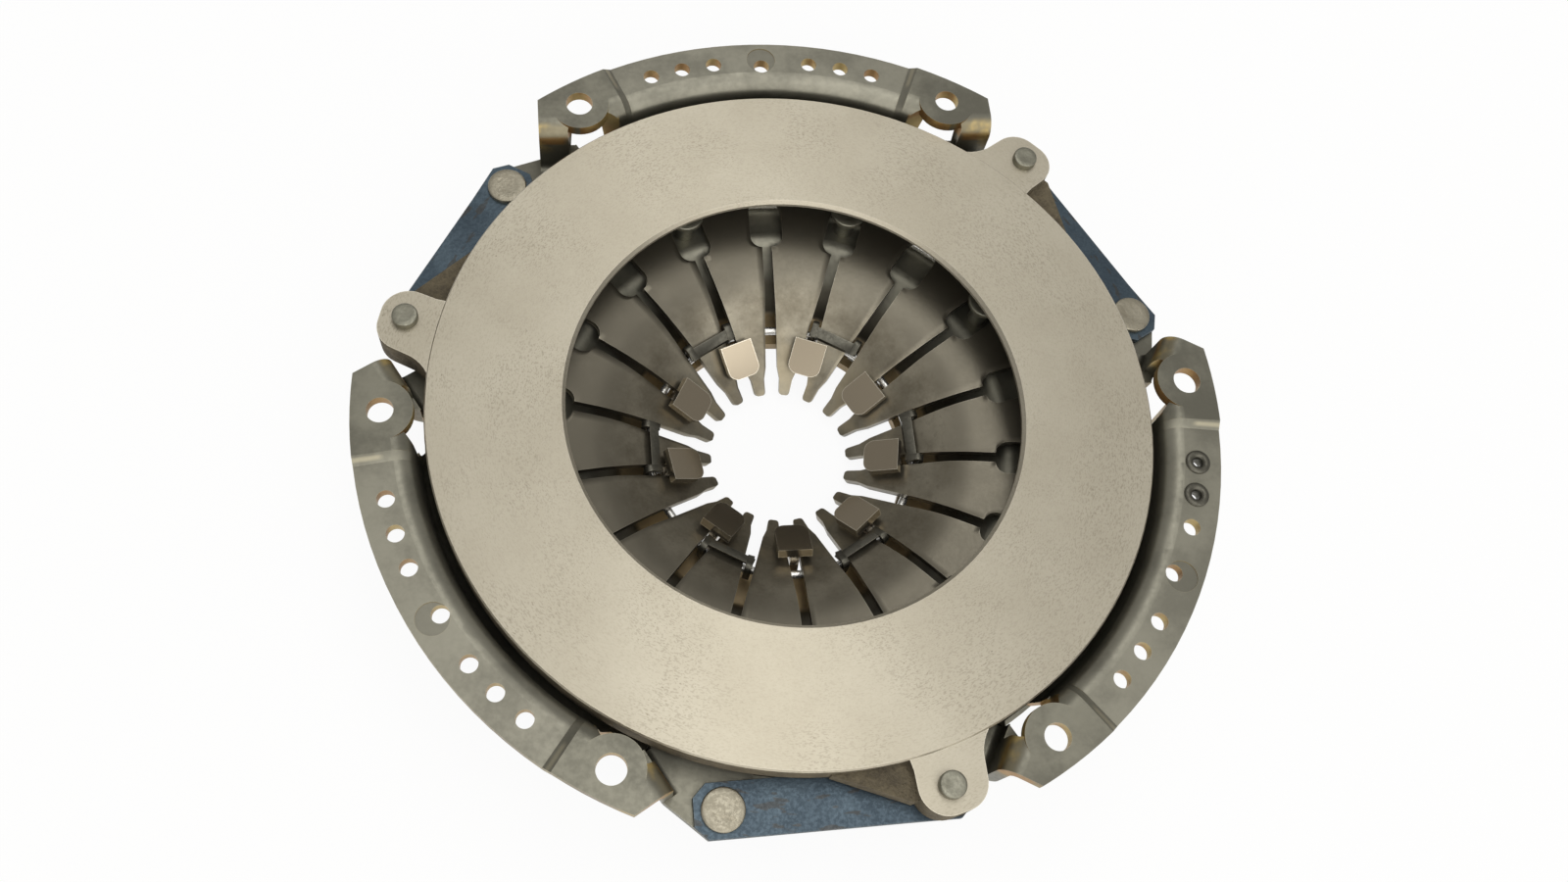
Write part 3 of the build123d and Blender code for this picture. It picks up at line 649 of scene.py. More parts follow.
@dataclass(frozen=True)
class CoverSteel(Finish):
    """Pressed grey-olive steel: faint stains, heat tint at bends and cut edges, a brown hub
    brightened as painted light, painted shade on the cone, painted highlights on creases, and
    edges partly worn and partly highlighted.

    Pairs give where a step starts and ends, or the levels on its two sides. Angles are counted
    from the middle of a wing.
    """

    grey: Colour = (0.215, 0.206, 0.162)
    pale: Colour = (0.275, 0.263, 0.21)
    dark: Colour = (0.14, 0.134, 0.106)
    gold: Colour = (0.5, 0.37, 0.14)
    umber: Colour = (0.36, 0.2, 0.065)
    # pale tone of the painted highlights along the creases and the edges
    crease_and_edge_glint: Colour = (0.42, 0.38, 0.27)
    # heat-tinted brown, made brighter than its own tone as painted light
    hub: Colour = (0.52, 0.37, 0.175)
    # dark tone painted as shade on the cover's cone under the spring; it also darkens the stains
    # on the hub
    cone: Colour = (0.11, 0.1, 0.075)
    stop: Colour = (0.29, 0.246, 0.18)
    # edge colour of the stop tongues: a bright painted highlight with some wear
    bare_and_glint: Colour = (0.85, 0.79, 0.66)
    stains: Clouds = Clouds(34.0, 520.0, 0.12)
    stain_levels: Point2 = (0.1, 0.9)
    stain_depth: float = 0.00003
    strip_angle: Point2 = (22.0, 24.0)
    strip_share: Point2 = (0.35, 0.9)
    crease_rise: Point2 = (22.9, 23.3)
    crease_fall: Point2 = (23.4, 23.8)
    crease_share: float = 0.6
    flange_r: Point2 = (134.0, 137.0)
    level_lean: Point2 = (0.5, 0.6)
    mark_x: float = 137.2
    mark_r: Point2 = (5.2, 5.3)
    mark_share: float = 0.5
    blotch_scale: float = 75.0
    blotch_levels: Point2 = (0.42, 0.62)
    ear_angle: Point2 = (31.0, 33.0)
    ear_height: Point2 = (-14.0, -5.0)
    bend_lean: Point2 = (0.985, 0.8)
    bend_share: Point2 = (0.15, 0.8)
    upright_lean: Point2 = (0.25, 0.5)
    rim_r: Point2 = (127.0, 128.5)
    rim_height: Point2 = (-8.0, -6.5)
    window_rise: Point2 = (25.0, 25.3)
    window_fall: Point2 = (32.2, 32.6)
    window_r: Point2 = (121.6, 121.9)
    outer_r: Point2 = (141.5, 143.0)
    cut_share: Point2 = (0.85, 0.3)
    cone_shade_r: Point2 = (67.0, 72.0)
    hub_r: Point2 = (57.5, 60.0)
    hub_stain: float = 0.6
    stop_r: Point2 = (58.0, 62.0)
    stop_height: Point2 = (-50.0, -48.0)
    stop_rough: float = 0.14
    wear_and_glint_reach: float = 0.0005
    wear_and_glint_share: float = 0.3
    metallic: Point2 = (0.88, 0.3)
    rough: Point2 = (0.46, 0.4)

    def sheet(self, g: Graph, place: bpy.types.NodeOutputs, cloud: Socket, turn: Socket) -> Socket:
        """Colour the sheet: stains, paler strips with a painted highlight along the crease at each
        end, round press marks.

        Args:
            g: graph of the material.
            place: outputs of the place group.
            cloud: level of the stains.
            turn: angle from the wing's middle, without its sign.

        Returns:
            The colour's socket.
        """
        colour = g.mix(g.ramp(cloud, *self.stain_levels), self.dark, self.grey)
        strip = g.times(g.ramp(turn, *self.strip_angle, 1.0, 0.0),
                        g.ramp(cloud, 0.0, 1.0, *self.strip_share))
        colour = g.mix(strip, colour, self.pale)
        # painted highlight: a pale line along each joggle crease
        crease = g.times(g.band(turn, self.crease_rise, self.crease_fall),
                         g.ramp(place["Radius"], *self.flange_r), self.crease_share)
        colour = g.mix(crease, colour, self.crease_and_edge_glint)
        away = g.reach(g.math("SUBTRACT", place["Wing X"], self.mark_x), place["Wing Y"])
        mark = g.times(g.ramp(away, *self.mark_r, self.mark_share, 0.0),
                       g.ramp(place["Upward"], *self.level_lean))
        return g.mix(mark, colour, self.dark)

    def heated(self, g: Graph, place: bpy.types.NodeOutputs, colour: Socket,
               turn: Socket) -> Socket:
        """Tint the ears' bends golden, and the cut edges golden and brown.

        Args:
            g: graph of the material.
            place: outputs of the place group.
            colour: colour of the sheet.
            turn: angle from the wing's middle, without its sign.

        Returns:
            The tinted colour's socket.
        """
        radius, height, upward = place["Radius"], place["Height"], place["Upward"]
        blotch = g.ramp(g.noise(place["Object"], self.blotch_scale), *self.blotch_levels)
        bend = g.times(g.ramp(turn, *self.ear_angle), g.ramp(height, *self.ear_height),
                       g.ramp(upward, *self.bend_lean), g.ramp(blotch, 0.0, 1.0, *self.bend_share))
        colour = g.mix(bend, colour, self.gold)
        upright = g.ramp(g.math("ABSOLUTE", upward), *self.upright_lean, 1.0, 0.0)
        rim = g.times(upright, g.ramp(radius, *self.rim_r), g.ramp(height, *self.rim_height))
        window = g.times(upright, g.band(turn, self.window_rise, self.window_fall),
                         g.ramp(radius, *self.window_r))
        cut = g.times(g.most(rim, window), g.ramp(radius, *self.outer_r, *self.cut_share))
        return g.mix(cut, colour, g.mix(blotch, self.umber, self.gold))

    def build(self, fx: Effects) -> bpy.types.Material:
        """Make the material.

        Args:
            fx: shared effects.

        Returns:
            The material.
        """
        g, shader, material = self.start()
        place = g.group(fx.place.tree)
        radius = place["Radius"]
        stains = self.stains.over(g, fx, place)
        cloud = stains["Cloud"]
        turn = g.math("ABSOLUTE", place["Wing Angle"])
        colour = self.heated(g, place, self.sheet(g, place, cloud, turn), turn)
        # painted shade: the cone under the spring is darkened
        colour = g.mix(g.ramp(radius, *self.cone_shade_r, 1.0, 0.0), colour, self.cone)
        # the hub's heat-tinted brown is made brighter as painted light; its stains take the cone's
        # painted-shade tone
        hub = g.ramp(radius, *self.hub_r, 1.0, 0.0)
        colour = g.mix(hub, colour, g.mix(g.times(cloud, self.hub_stain), self.hub, self.cone))
        stop = g.times(g.ramp(radius, *self.stop_r, 1.0, 0.0),
                       g.ramp(place["Height"], *self.stop_height))
        # pale edges: partly worn metal, partly a painted highlight; on the stop tongues a bright
        # painted highlight
        rim = g.group(fx.edges.tree, Reach=self.wear_and_glint_reach)["Edge"]
        colour = g.mix(g.times(rim, self.wear_and_glint_share), colour, self.crease_and_edge_glint)
        colour = g.mix(stop, colour, g.mix(rim, self.stop, self.bare_and_glint))
        g.feed(shader.inputs["Base Color"], colour)
        plain = g.math("SUBTRACT", 1.0, stop)
        g.feed(shader.inputs["Metallic"], g.ramp(g.times(hub, plain), 0.0, 1.0, *self.metallic))
        rough = g.ramp(stains["Grain"], 0.0, 1.0, *self.rough)
        spare = g.times(g.math("SUBTRACT", rough, self.stop_rough), plain)
        g.feed(shader.inputs["Roughness"], g.math("ADD", spare, self.stop_rough))
        self.relief(g, shader, g.times(cloud, plain), self.stain_depth)
        return material


@dataclass(frozen=True)
class StainedSteel(Finish):
    """Steel in one tone with clouds of a second and streaks of a third, pale at its edges from
    wear and painted highlight.
    """

    base: Colour
    cloud: Colour
    streak: Colour
    streaks: float
    stains: Clouds = Clouds(60.0)
    marks: Marks = Marks(420.0, 0.4, 0.6)
    rough: Point2 = (0.34, 0.5)
    metallic: float = 0.9
    relief_depth: float = 0.00006
    # edge colour: partly worn metal, partly a painted highlight
    bare_and_glint: Colour = (0.5, 0.46, 0.37)
    bare_and_glint_share: float = 0.3
    wear_and_glint_reach: float = 0.0004

    def worn_and_shaded(self, g: Graph, place: bpy.types.NodeOutputs, colour: Socket) -> Socket:
        """Leave the colour as it is; the spring's finish adds wear and painted shade here."""
        return colour

    def build(self, fx: Effects) -> bpy.types.Material:
        """Make the material.

        Args:
            fx: shared effects.

        Returns:
            The material.
        """
        g, shader, material = self.start()
        place = g.group(fx.place.tree)
        stains = self.stains.over(g, fx, place)
        grain = stains["Grain"]
        colour = g.mix(stains["Cloud"], self.base, self.cloud)
        streaks = g.times(self.marks.over(g, fx, place), self.streaks)
        colour = self.worn_and_shaded(g, place, g.mix(streaks, colour, self.streak))
        # pale edges: partly worn metal, partly a painted highlight
        rim = g.group(fx.edges.tree, Reach=self.wear_and_glint_reach)["Edge"]
        colour = g.mix(g.times(rim, self.bare_and_glint_share), colour, self.bare_and_glint)
        smooth, coarse = self.rough
        g.feed(shader.inputs["Base Color"], colour)
        shader.inputs["Metallic"].default_value = self.metallic
        g.feed(shader.inputs["Roughness"], g.ramp(grain, 0.0, 1.0, coarse, smooth))
        self.relief(g, shader, grain, self.relief_depth)
        return material


@dataclass(frozen=True)
class SpringSteel(StainedSteel):
    """Spring steel: bronze-grey with warm stains at the finger tips; the outer disc is darkened as
    painted shade.
    """

    # dark tone painted as shade over the outer disc
    disc: Colour = (0.125, 0.113, 0.086)
    rubbed: Colour = (0.3, 0.255, 0.17)
    tip_r: Point2 = (34.0, 52.0)
    tip_share: float = 0.6
    patch_scale: float = 90.0
    patch_detail: float = 2.0
    patch_levels: Point2 = (0.42, 0.68)
    disc_r: Point2 = (53.0, 67.0)
    disc_share: Point2 = (0.96, 0.86)

    def worn_and_shaded(self, g: Graph, place: bpy.types.NodeOutputs, colour: Socket) -> Socket:
        """Darken the disc as painted shade and stain the finger tips.

        Args:
            g: graph of the material.
            place: outputs of the place group.
            colour: colour of the fingers before wear and painted shade.

        Returns:
            The colour with wear and painted shade.
        """
        patch = g.ramp(g.noise(place["Object"], self.patch_scale, self.patch_detail),
                       *self.patch_levels)
        tip = g.times(g.ramp(place["Radius"], *self.tip_r, self.tip_share, 0.0), patch)
        colour = g.mix(tip, colour, self.rubbed)
        # painted shade: the outer disc is darkened
        disc = g.times(g.ramp(place["Radius"], *self.disc_r),
                       g.ramp(patch, 0.0, 1.0, *self.disc_share))
        return g.mix(disc, colour, self.disc)


@dataclass
class Repeat:
    """Geometry Nodes tree that turns one pattern round the shaft axis and joins the copies.

    The seam is the distance in metres at which touching copies are merged.
    """

    title: str = "Turn and repeat"
    seam: float = 2e-6

    def __post_init__(self) -> None:
        """Build the tree with its named inputs."""
        tree = bpy.data.node_groups.new(self.title, "GeometryNodeTree")
        face = tree.interface
        face.new_socket("Geometry", in_out="INPUT", socket_type="NodeSocketGeometry")
        kinds = {"Count": "Int", "Pitch": "Float", "Start": "Float", "Finish": "Material"}
        for name, kind in kinds.items():
            face.new_socket(name, in_out="INPUT", socket_type=f"NodeSocket{kind}")
        face.new_socket("Geometry", in_out="OUTPUT", socket_type="NodeSocketGeometry")
        add, link = tree.nodes.new, tree.links.new
        inside = add("NodeGroupInput").outputs
        points = add("GeometryNodePoints")
        link(inside["Count"], points.inputs["Count"])
        index = add("GeometryNodeInputIndex")
        step = add("ShaderNodeMath")
        step.operation = "MULTIPLY_ADD"
        link(index.outputs[0], step.inputs[0])
        link(inside["Pitch"], step.inputs[1])
        link(inside["Start"], step.inputs[2])
        turn = add("ShaderNodeCombineXYZ")
        link(step.outputs[0], turn.inputs["Z"])
        copies = add("GeometryNodeInstanceOnPoints")
        link(points.outputs[0], copies.inputs["Points"])
        link(inside["Geometry"], copies.inputs["Instance"])
        link(turn.outputs[0], copies.inputs["Rotation"])
        real = add("GeometryNodeRealizeInstances")
        link(copies.outputs[0], real.inputs[0])
        merged = add("GeometryNodeMergeByDistance")
        merged.inputs["Distance"].default_value = self.seam
        link(real.outputs[0], merged.inputs["Geometry"])
        dressed = add("GeometryNodeSetMaterial")
        link(merged.outputs[0], dressed.inputs["Geometry"])
        link(inside["Finish"], dressed.inputs["Material"])
        link(dressed.outputs[0], add("NodeGroupOutput").inputs[0])
        self.tree = tree

    def make(self, name: str, pattern: bpy.types.Mesh, finish: bpy.types.Material, count: int,
             pitch: float, start: float) -> bpy.types.Object:
        """Repeat a pattern round the shaft axis.

        Args:
            name: name of the piece.
            pattern: mesh of one copy, in place at angle 0.
            finish: material of all copies.
            count: number of copies.
            pitch: angle between copies.
            start: angle of the first copy.

        Returns:
            The piece, as a plain mesh.
        """
        piece = bpy.data.objects.new(name, pattern)
        bpy.context.scene.collection.objects.link(piece)
        modifier = piece.modifiers.new("Repeat", "NODES")
        modifier.node_group = self.tree
        values = {"Count": count, "Pitch": math.radians(pitch), "Start": math.radians(start),
                  "Finish": finish}
        for item in self.tree.interface.items_tree:
            if item.in_out == "INPUT" and item.name in values:
                modifier[item.identifier] = values[item.name]
        bpy.context.view_layer.update()
        ready = piece.evaluated_get(bpy.context.evaluated_depsgraph_get())
        mesh = bpy.data.meshes.new_from_object(ready)
        mesh.name = name
        piece.modifiers.clear()
        piece.data = mesh
        return piece


def soften(bm: bmesh.types.BMesh, angle: float, width: float, segments: int,
           profile: float = 0.5) -> None:
    """Round the edges that turn by more than an angle.

    Args:
        bm: mesh that is changed.
        angle: least turn of such an edge.
        width: width of the round.
        segments: faces across the round.
        profile: form of the round, 0.5 for an arc.
    """
    bmesh.ops.recalc_face_normals(bm, faces=bm.faces)
    least = math.radians(angle)
    rim = [e for e in bm.edges if len(e.link_faces) == 2 and e.calc_face_angle() > least]
    bmesh.ops.bevel(bm, geom=rim, offset=width * MM, segments=segments, profile=profile,
                    affect="EDGES", clamp_overlap=True)


def mesh_from(bm: bmesh.types.BMesh, name: str, sharp: float) -> bpy.types.Mesh:
    """Turn a bmesh into a mesh with smooth faces and sharp edges.

    Args:
        bm: source; it is freed.
        name: name of the mesh.
        sharp: angle above which an edge is sharp.

    Returns:
        The mesh.
    """
    bmesh.ops.recalc_face_normals(bm, faces=bm.faces)
    for face in bm.faces:
        face.smooth = True
    mesh = bpy.data.meshes.new(name)
    bm.to_mesh(mesh)
    bm.free()
    mesh.set_sharp_from_angle(angle=math.radians(sharp))
    return mesh


def placed(piece: bpy.types.Object, body: Body, slot: Slot, *nodes: str) -> None:
    """Ride a piece on its body and let it stand for solids.

    Args:
        piece: finished piece.
        body: body that it moves with.
        slot: its material slot in the record; not used.
        nodes: solids that it stands for.
    """
    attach(piece, body.value)
    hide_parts(*nodes)
    LOG.info("piece %s rides on %s for %s", piece.name, body.value, ", ".join(nodes))


def dress(frame: dict, node: str, material: bpy.types.Material) -> None:
    """Give a solid its finish.

    Args:
        node: name of the solid.
        material: its finish.
    """
    mesh = frame["nodes"][node].data
    mesh.materials.clear()
    mesh.materials.append(material)
    LOG.info("solid %s wears %s", node, material.name)


@dataclass
class DiaphragmSpring:
    """Slotted cone spring: one finger with half of each slot beside it, turned round the axis.

    The slot's halves are pairs of distance from the axis and half width.
    """

    fingers: int = 18
    first_slot: float = 90.0
    sheet: float = 2.8
    tip_r: float = 24.6
    bend_r: float = 60.0
    outer_r: float = 114.5
    neck_r: float = 75.0
    pivot_r: float = 94.5
    pivot_depth: float = 27.18
    disc_slope: float = 12.0
    finger_slope: float = 29.5
    bend_ease: float = 8.0
    slope_span: float = 0.5
    slot_halves: tuple[Point2, ...] = (
        (26.1, 2.65), (30.0, 2.9), (33.8, 2.2), (50.0, 2.1), (60.0, 1.8), (75.0, 1.8),
    )
    tip_round: float = 1.2
    tip_angles: tuple[float, ...] = (0, 25, 45, 65, 90)
    finger_rows: tuple[float, ...] = (
        26.1, 28.0, 30.0, 31.2, 32.5, 33.8, 36.0, 39.0, 42.0, 46.0, 50.0,
        52.0, 54.0, 56.0, 58.0, 60.0, 62.0, 64.0, 66.0, 68.0, 70.0, 73.0,
    )
    disc_rows: tuple[float, ...] = (98.0, 103.0, 108.0, 112.0)
    keyhole_half: float = 6.1
    keyhole_outer_r: float = 93.0
    keyhole_corner: float = 4.4
    keyhole_angles: tuple[float, ...] = (0, 15, 30, 45, 60, 75, 90)
    keyhole_lip: float = 0.02
    rim_angle: float = 50.0
    edge_round: float = 0.45
    edge_faces: int = 2
    edge_profile: float = 0.6
    sharp: float = 55.0
    columns: int = 8
    keep: float = 0.88

    def top(self, radius: float) -> float:
        """Height of the flywheel side, with the bend eased.

        Args:
            radius: distance from the axis.

        Returns:
            The height.
        """
        disc = math.tan(math.radians(self.disc_slope))
        fall = math.tan(math.radians(self.finger_slope))
        bend_z = -self.pivot_depth - (self.pivot_r - self.bend_r) * disc
        step = radius - self.bend_r
        height = bend_z + step * (disc if step > 0 else fall)
        if abs(step) < self.bend_ease:
            height -= (fall - disc) * (self.bend_ease - abs(step)) ** 2 / (4 * self.bend_ease)
        return height

    def slope(self, radius: float) -> float:
        """Slope of the sheet at a radius, in radians."""
        span = self.slope_span
        return math.atan2(self.top(radius + span) - self.top(radius - span), 2 * span)

    def half_slot(self, x: float) -> float:
        """Half width of the slot.

        Args:
            x: distance from the axis along the slot's middle.

        Returns:
            The half width.
        """
        corner = self.keyhole_corner
        inner = self.neck_r + corner
        outer = self.keyhole_outer_r - corner
        flat = self.keyhole_half - corner
        if x >= inner:
            rise = max(x - outer, 0.0)
            return flat + math.sqrt(max(corner**2 - rise**2, 0.0))
        slot = self.slot_halves[-1][1]
        if x >= self.neck_r:
            return max(slot, flat + math.sqrt(max(corner**2 - (inner - x) ** 2, 0.0)))
        for (near, first), (far, last) in zip(self.slot_halves, self.slot_halves[1:]):
            if near <= x <= far:
                share = (x - near) / (far - near)
                return first + (last - first) * share
        nick = max(self.tip_r + self.tip_round - x, 0.0)
        tip = self.slot_halves[0][1] + self.tip_round
        return tip - math.sqrt(max(self.tip_round**2 - nick**2, 0.0))

    def stations(self) -> list[Point2]:
        """Distances along the slot, each with the slot's half width there.

        Returns:
            Pairs of distance and half width, from the tip to the outer edge.
        """
        inner = self.neck_r + self.keyhole_corner
        outer = self.keyhole_outer_r - self.keyhole_corner
        arc = [self.keyhole_corner * math.sin(math.radians(a)) for a in self.keyhole_angles]
        lengths = [self.tip_r + self.tip_round * (1 - math.cos(math.radians(a)))
                   for a in self.tip_angles]
        lengths += self.finger_rows
        lengths += [inner - step for step in reversed(arc)]
        lengths += [(inner + outer) / 2]
        lengths += [outer + step for step in arc]
        rows = [(x, self.half_slot(x)) for x in lengths]
        closed = (self.keyhole_outer_r + self.keyhole_lip, self.pivot_r, *self.disc_rows,
                  self.outer_r)
        return rows + [(x, 0.0) for x in closed]

    def sector(self) -> bpy.types.Mesh:
        """Make one finger with its part of the disc.

        Returns:
            The mesh, open where it joins its neighbours.
        """
        half_pitch = math.pi / self.fingers
        stations = self.stations()
        bm = bmesh.new()
        sides: list[list[list[bmesh.types.BMVert]]] = [[], []]
        for x, half in stations:
            radius = math.hypot(x, half)
            reach = half_pitch - math.atan2(half, x)
            lean = self.slope(radius)
            for under, rows in enumerate(sides):
                r = radius + under * self.sheet * math.sin(lean)
                z = self.top(radius) - under * self.sheet * math.cos(lean)
                row = []
                for column in range(self.columns + 1):
                    a = reach * (2 * column / self.columns - 1)
                    row.append(bm.verts.new((r * math.cos(a) * MM, r * math.sin(a) * MM, z * MM)))
                rows.append(row)
        upper, lower = sides
        for column in range(self.columns):
            after = column + 1
            for rows in sides:
                for near, far in zip(rows, rows[1:]):
                    bm.faces.new((near[column], near[after], far[after], far[column]))
            for top, base in ((upper[0], lower[0]), (upper[-1], lower[-1])):
                bm.faces.new((top[column], top[after], base[after], base[column]))
        slotted = sum(1 for _, half in stations if half > 0)
        for column in (0, self.columns):
            for index in range(slotted):
                after = index + 1
                bm.faces.new((upper[index][column], upper[after][column],
                              lower[after][column], lower[index][column]))
        soften(bm, self.rim_angle, self.edge_round, self.edge_faces, self.edge_profile)
        return mesh_from(bm, "finger", self.sharp)

    def build(self, repeat: Repeat, finish: bpy.types.Material) -> None:
        """Make the spring.

        Args:
            repeat: the turning tree.
            finish: spring steel.
        """
        pitch = FULL_TURN / self.fingers
        start = self.first_slot + pitch / 2
        piece = repeat.make("cone_spring", self.sector(), finish, self.fingers, pitch, start)
        placed(piece, Body.COVER, Slot.SPRING, "diaphragm_spring")
        pivot = (self.top(self.pivot_r) - self.sheet / 2) * MM
        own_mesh(piece)


@dataclass(frozen=True)
class StrapEnds:
    """Where the strap rivets stand: radius, and angle back from the wing's middle."""

    shelf_r: float = 133.2
    shelf_offset: float = 74.9
    lug_r: float = 132.7
    lug_offset: float = 45.3


@dataclass
class Straps:
    """Three packs of blued leaves between the cover's shelves and the plate's lugs."""

    ends: StrapEnds = StrapEnds()
    leaves: int = 3
    width: float = 17.0
    end: float = 9.0
    clip: float = 4.2
    flat: float = 10.0
    leaf: float = 0.7
    gap: float = 0.05
    shelf_top: float = -18.05
    lug_top: float = -15.3
    rim_angle: float = 40.0
    edge_round: float = 0.12
    edge_faces: int = 1
    sharp: float = 35.0
    steps: int = 24

    def spot(self, index: int, offset: float, radius: float) -> Vector:
        """Point of a rivet on the plan."""
        a = math.radians(WING_0_ANGLE - WING_PITCH * index - offset)
        return Vector((radius * math.cos(a), radius * math.sin(a), 0.0))

    def leaf_into(self, bm: bmesh.types.BMesh, start: Vector, along: Vector, length: float,
                  drop: float) -> None:
        """Add one leaf.

        Args:
            bm: mesh that gets the leaf.
            start: rivet on the shelf.
            along: direction to the lug.
            length: distance between the rivets.
            drop: how far the leaf lies below the top one.
        """
        side = Vector((-along.y, along.x, 0.0))
        run = length - 2 * self.flat
        marks = [-self.end, -self.end + self.clip, self.flat]
        marks += [self.flat + run * (i + 1) / self.steps for i in range(self.steps)]
        marks += [length + self.end - self.clip, length + self.end]
        rings = []
        for s in marks:
            share = min(max((s - self.flat) / run, 0.0), 1.0)
            z = self.shelf_top + (self.lug_top - self.shelf_top) * share - drop
            short = max(-self.end + self.clip - s, s - length - self.end + self.clip, 0.0)
            half = self.width / 2 - short
            ring = []
            for y, low in ((-half, 0), (half, 0), (half, 1), (-half, 1)):
                p = start + along * s + side * y
                ring.append(bm.verts.new((p.x * MM, p.y * MM, (z - low * self.leaf) * MM)))
            rings.append(ring)
        for near, far in zip(rings, rings[1:]):
            for k in range(len(near)):
                bm.faces.new((near[k - 1], near[k], far[k], far[k - 1]))
        bm.faces.new(rings[0])
        bm.faces.new(rings[-1])

    def build(self, finish: bpy.types.Material) -> None:
        """Make the packs, bending between the cover and the plate.

        Args:
            finish: blued steel.
        """
        for index in range(WINGS):
            start = self.spot(index, self.ends.shelf_offset, self.ends.shelf_r)
            stop = self.spot(index, self.ends.lug_offset, self.ends.lug_r)
            length = (stop - start).length
            along = (stop - start).normalized()
            bm = bmesh.new()
            for layer in range(self.leaves):
                self.leaf_into(bm, start, along, length, layer * (self.leaf + self.gap))
            soften(bm, self.rim_angle, self.edge_round, self.edge_faces)
            name = f"strap_{index + 1}"
            piece = bpy.data.objects.new(name, mesh_from(bm, name, self.sharp))
            piece.data.materials.append(finish)
            bpy.context.scene.collection.objects.link(piece)
            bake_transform(piece)
            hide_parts(*[f"{name}_leaf_{leaf + 1}" for leaf in range(self.leaves)])
            LOG.info("piece %s bends between cover and plate", name)


@dataclass(frozen=True)
class RivetHead:
    """Form of a rivet's head.

    The crown is the fall from the highest point to the rounded edge, and the dish is the
    shallow hollow that the tool leaves. Each row of the face gives shares of the flat radius,
    of the crown and of the dish.
    """

    radius: float
    crown: float
    edge: float
    dish: float
    face: tuple[Point3, ...] = (
        (0.0, 0.0, 1.0), (0.45, 0.0, 1.0), (0.62, 0.0, 0.2), (0.75, 0.0, 0.0), (0.92, 0.4, 0.0),
    )
    edge_angles: tuple[float, ...] = (0, 30, 60, 90)

    def section(self, top: float) -> list[Point2]:
        """Half section from the middle to the rim.

        Args:
            top: height of the highest point.

        Returns:
            Points of radius and height.
        """
        flat = self.radius - self.edge
        points = [(flat * out, top - self.crown * fall - self.dish * hollow)
                  for out, fall, hollow in self.face]
        for angle in self.edge_angles:
            a = math.radians(angle)
            drop = self.crown + self.edge * (1 - math.cos(a))
            points.append((flat + self.edge * math.sin(a), top - drop))
        return points


@dataclass(frozen=True)
class RivetShape:
    """One rivet: its head, its heights from the top down, and the radius of its tail head."""

    head: RivetHead
    top: float
    under: float
    tail: float
    low: float
    tail_r: float


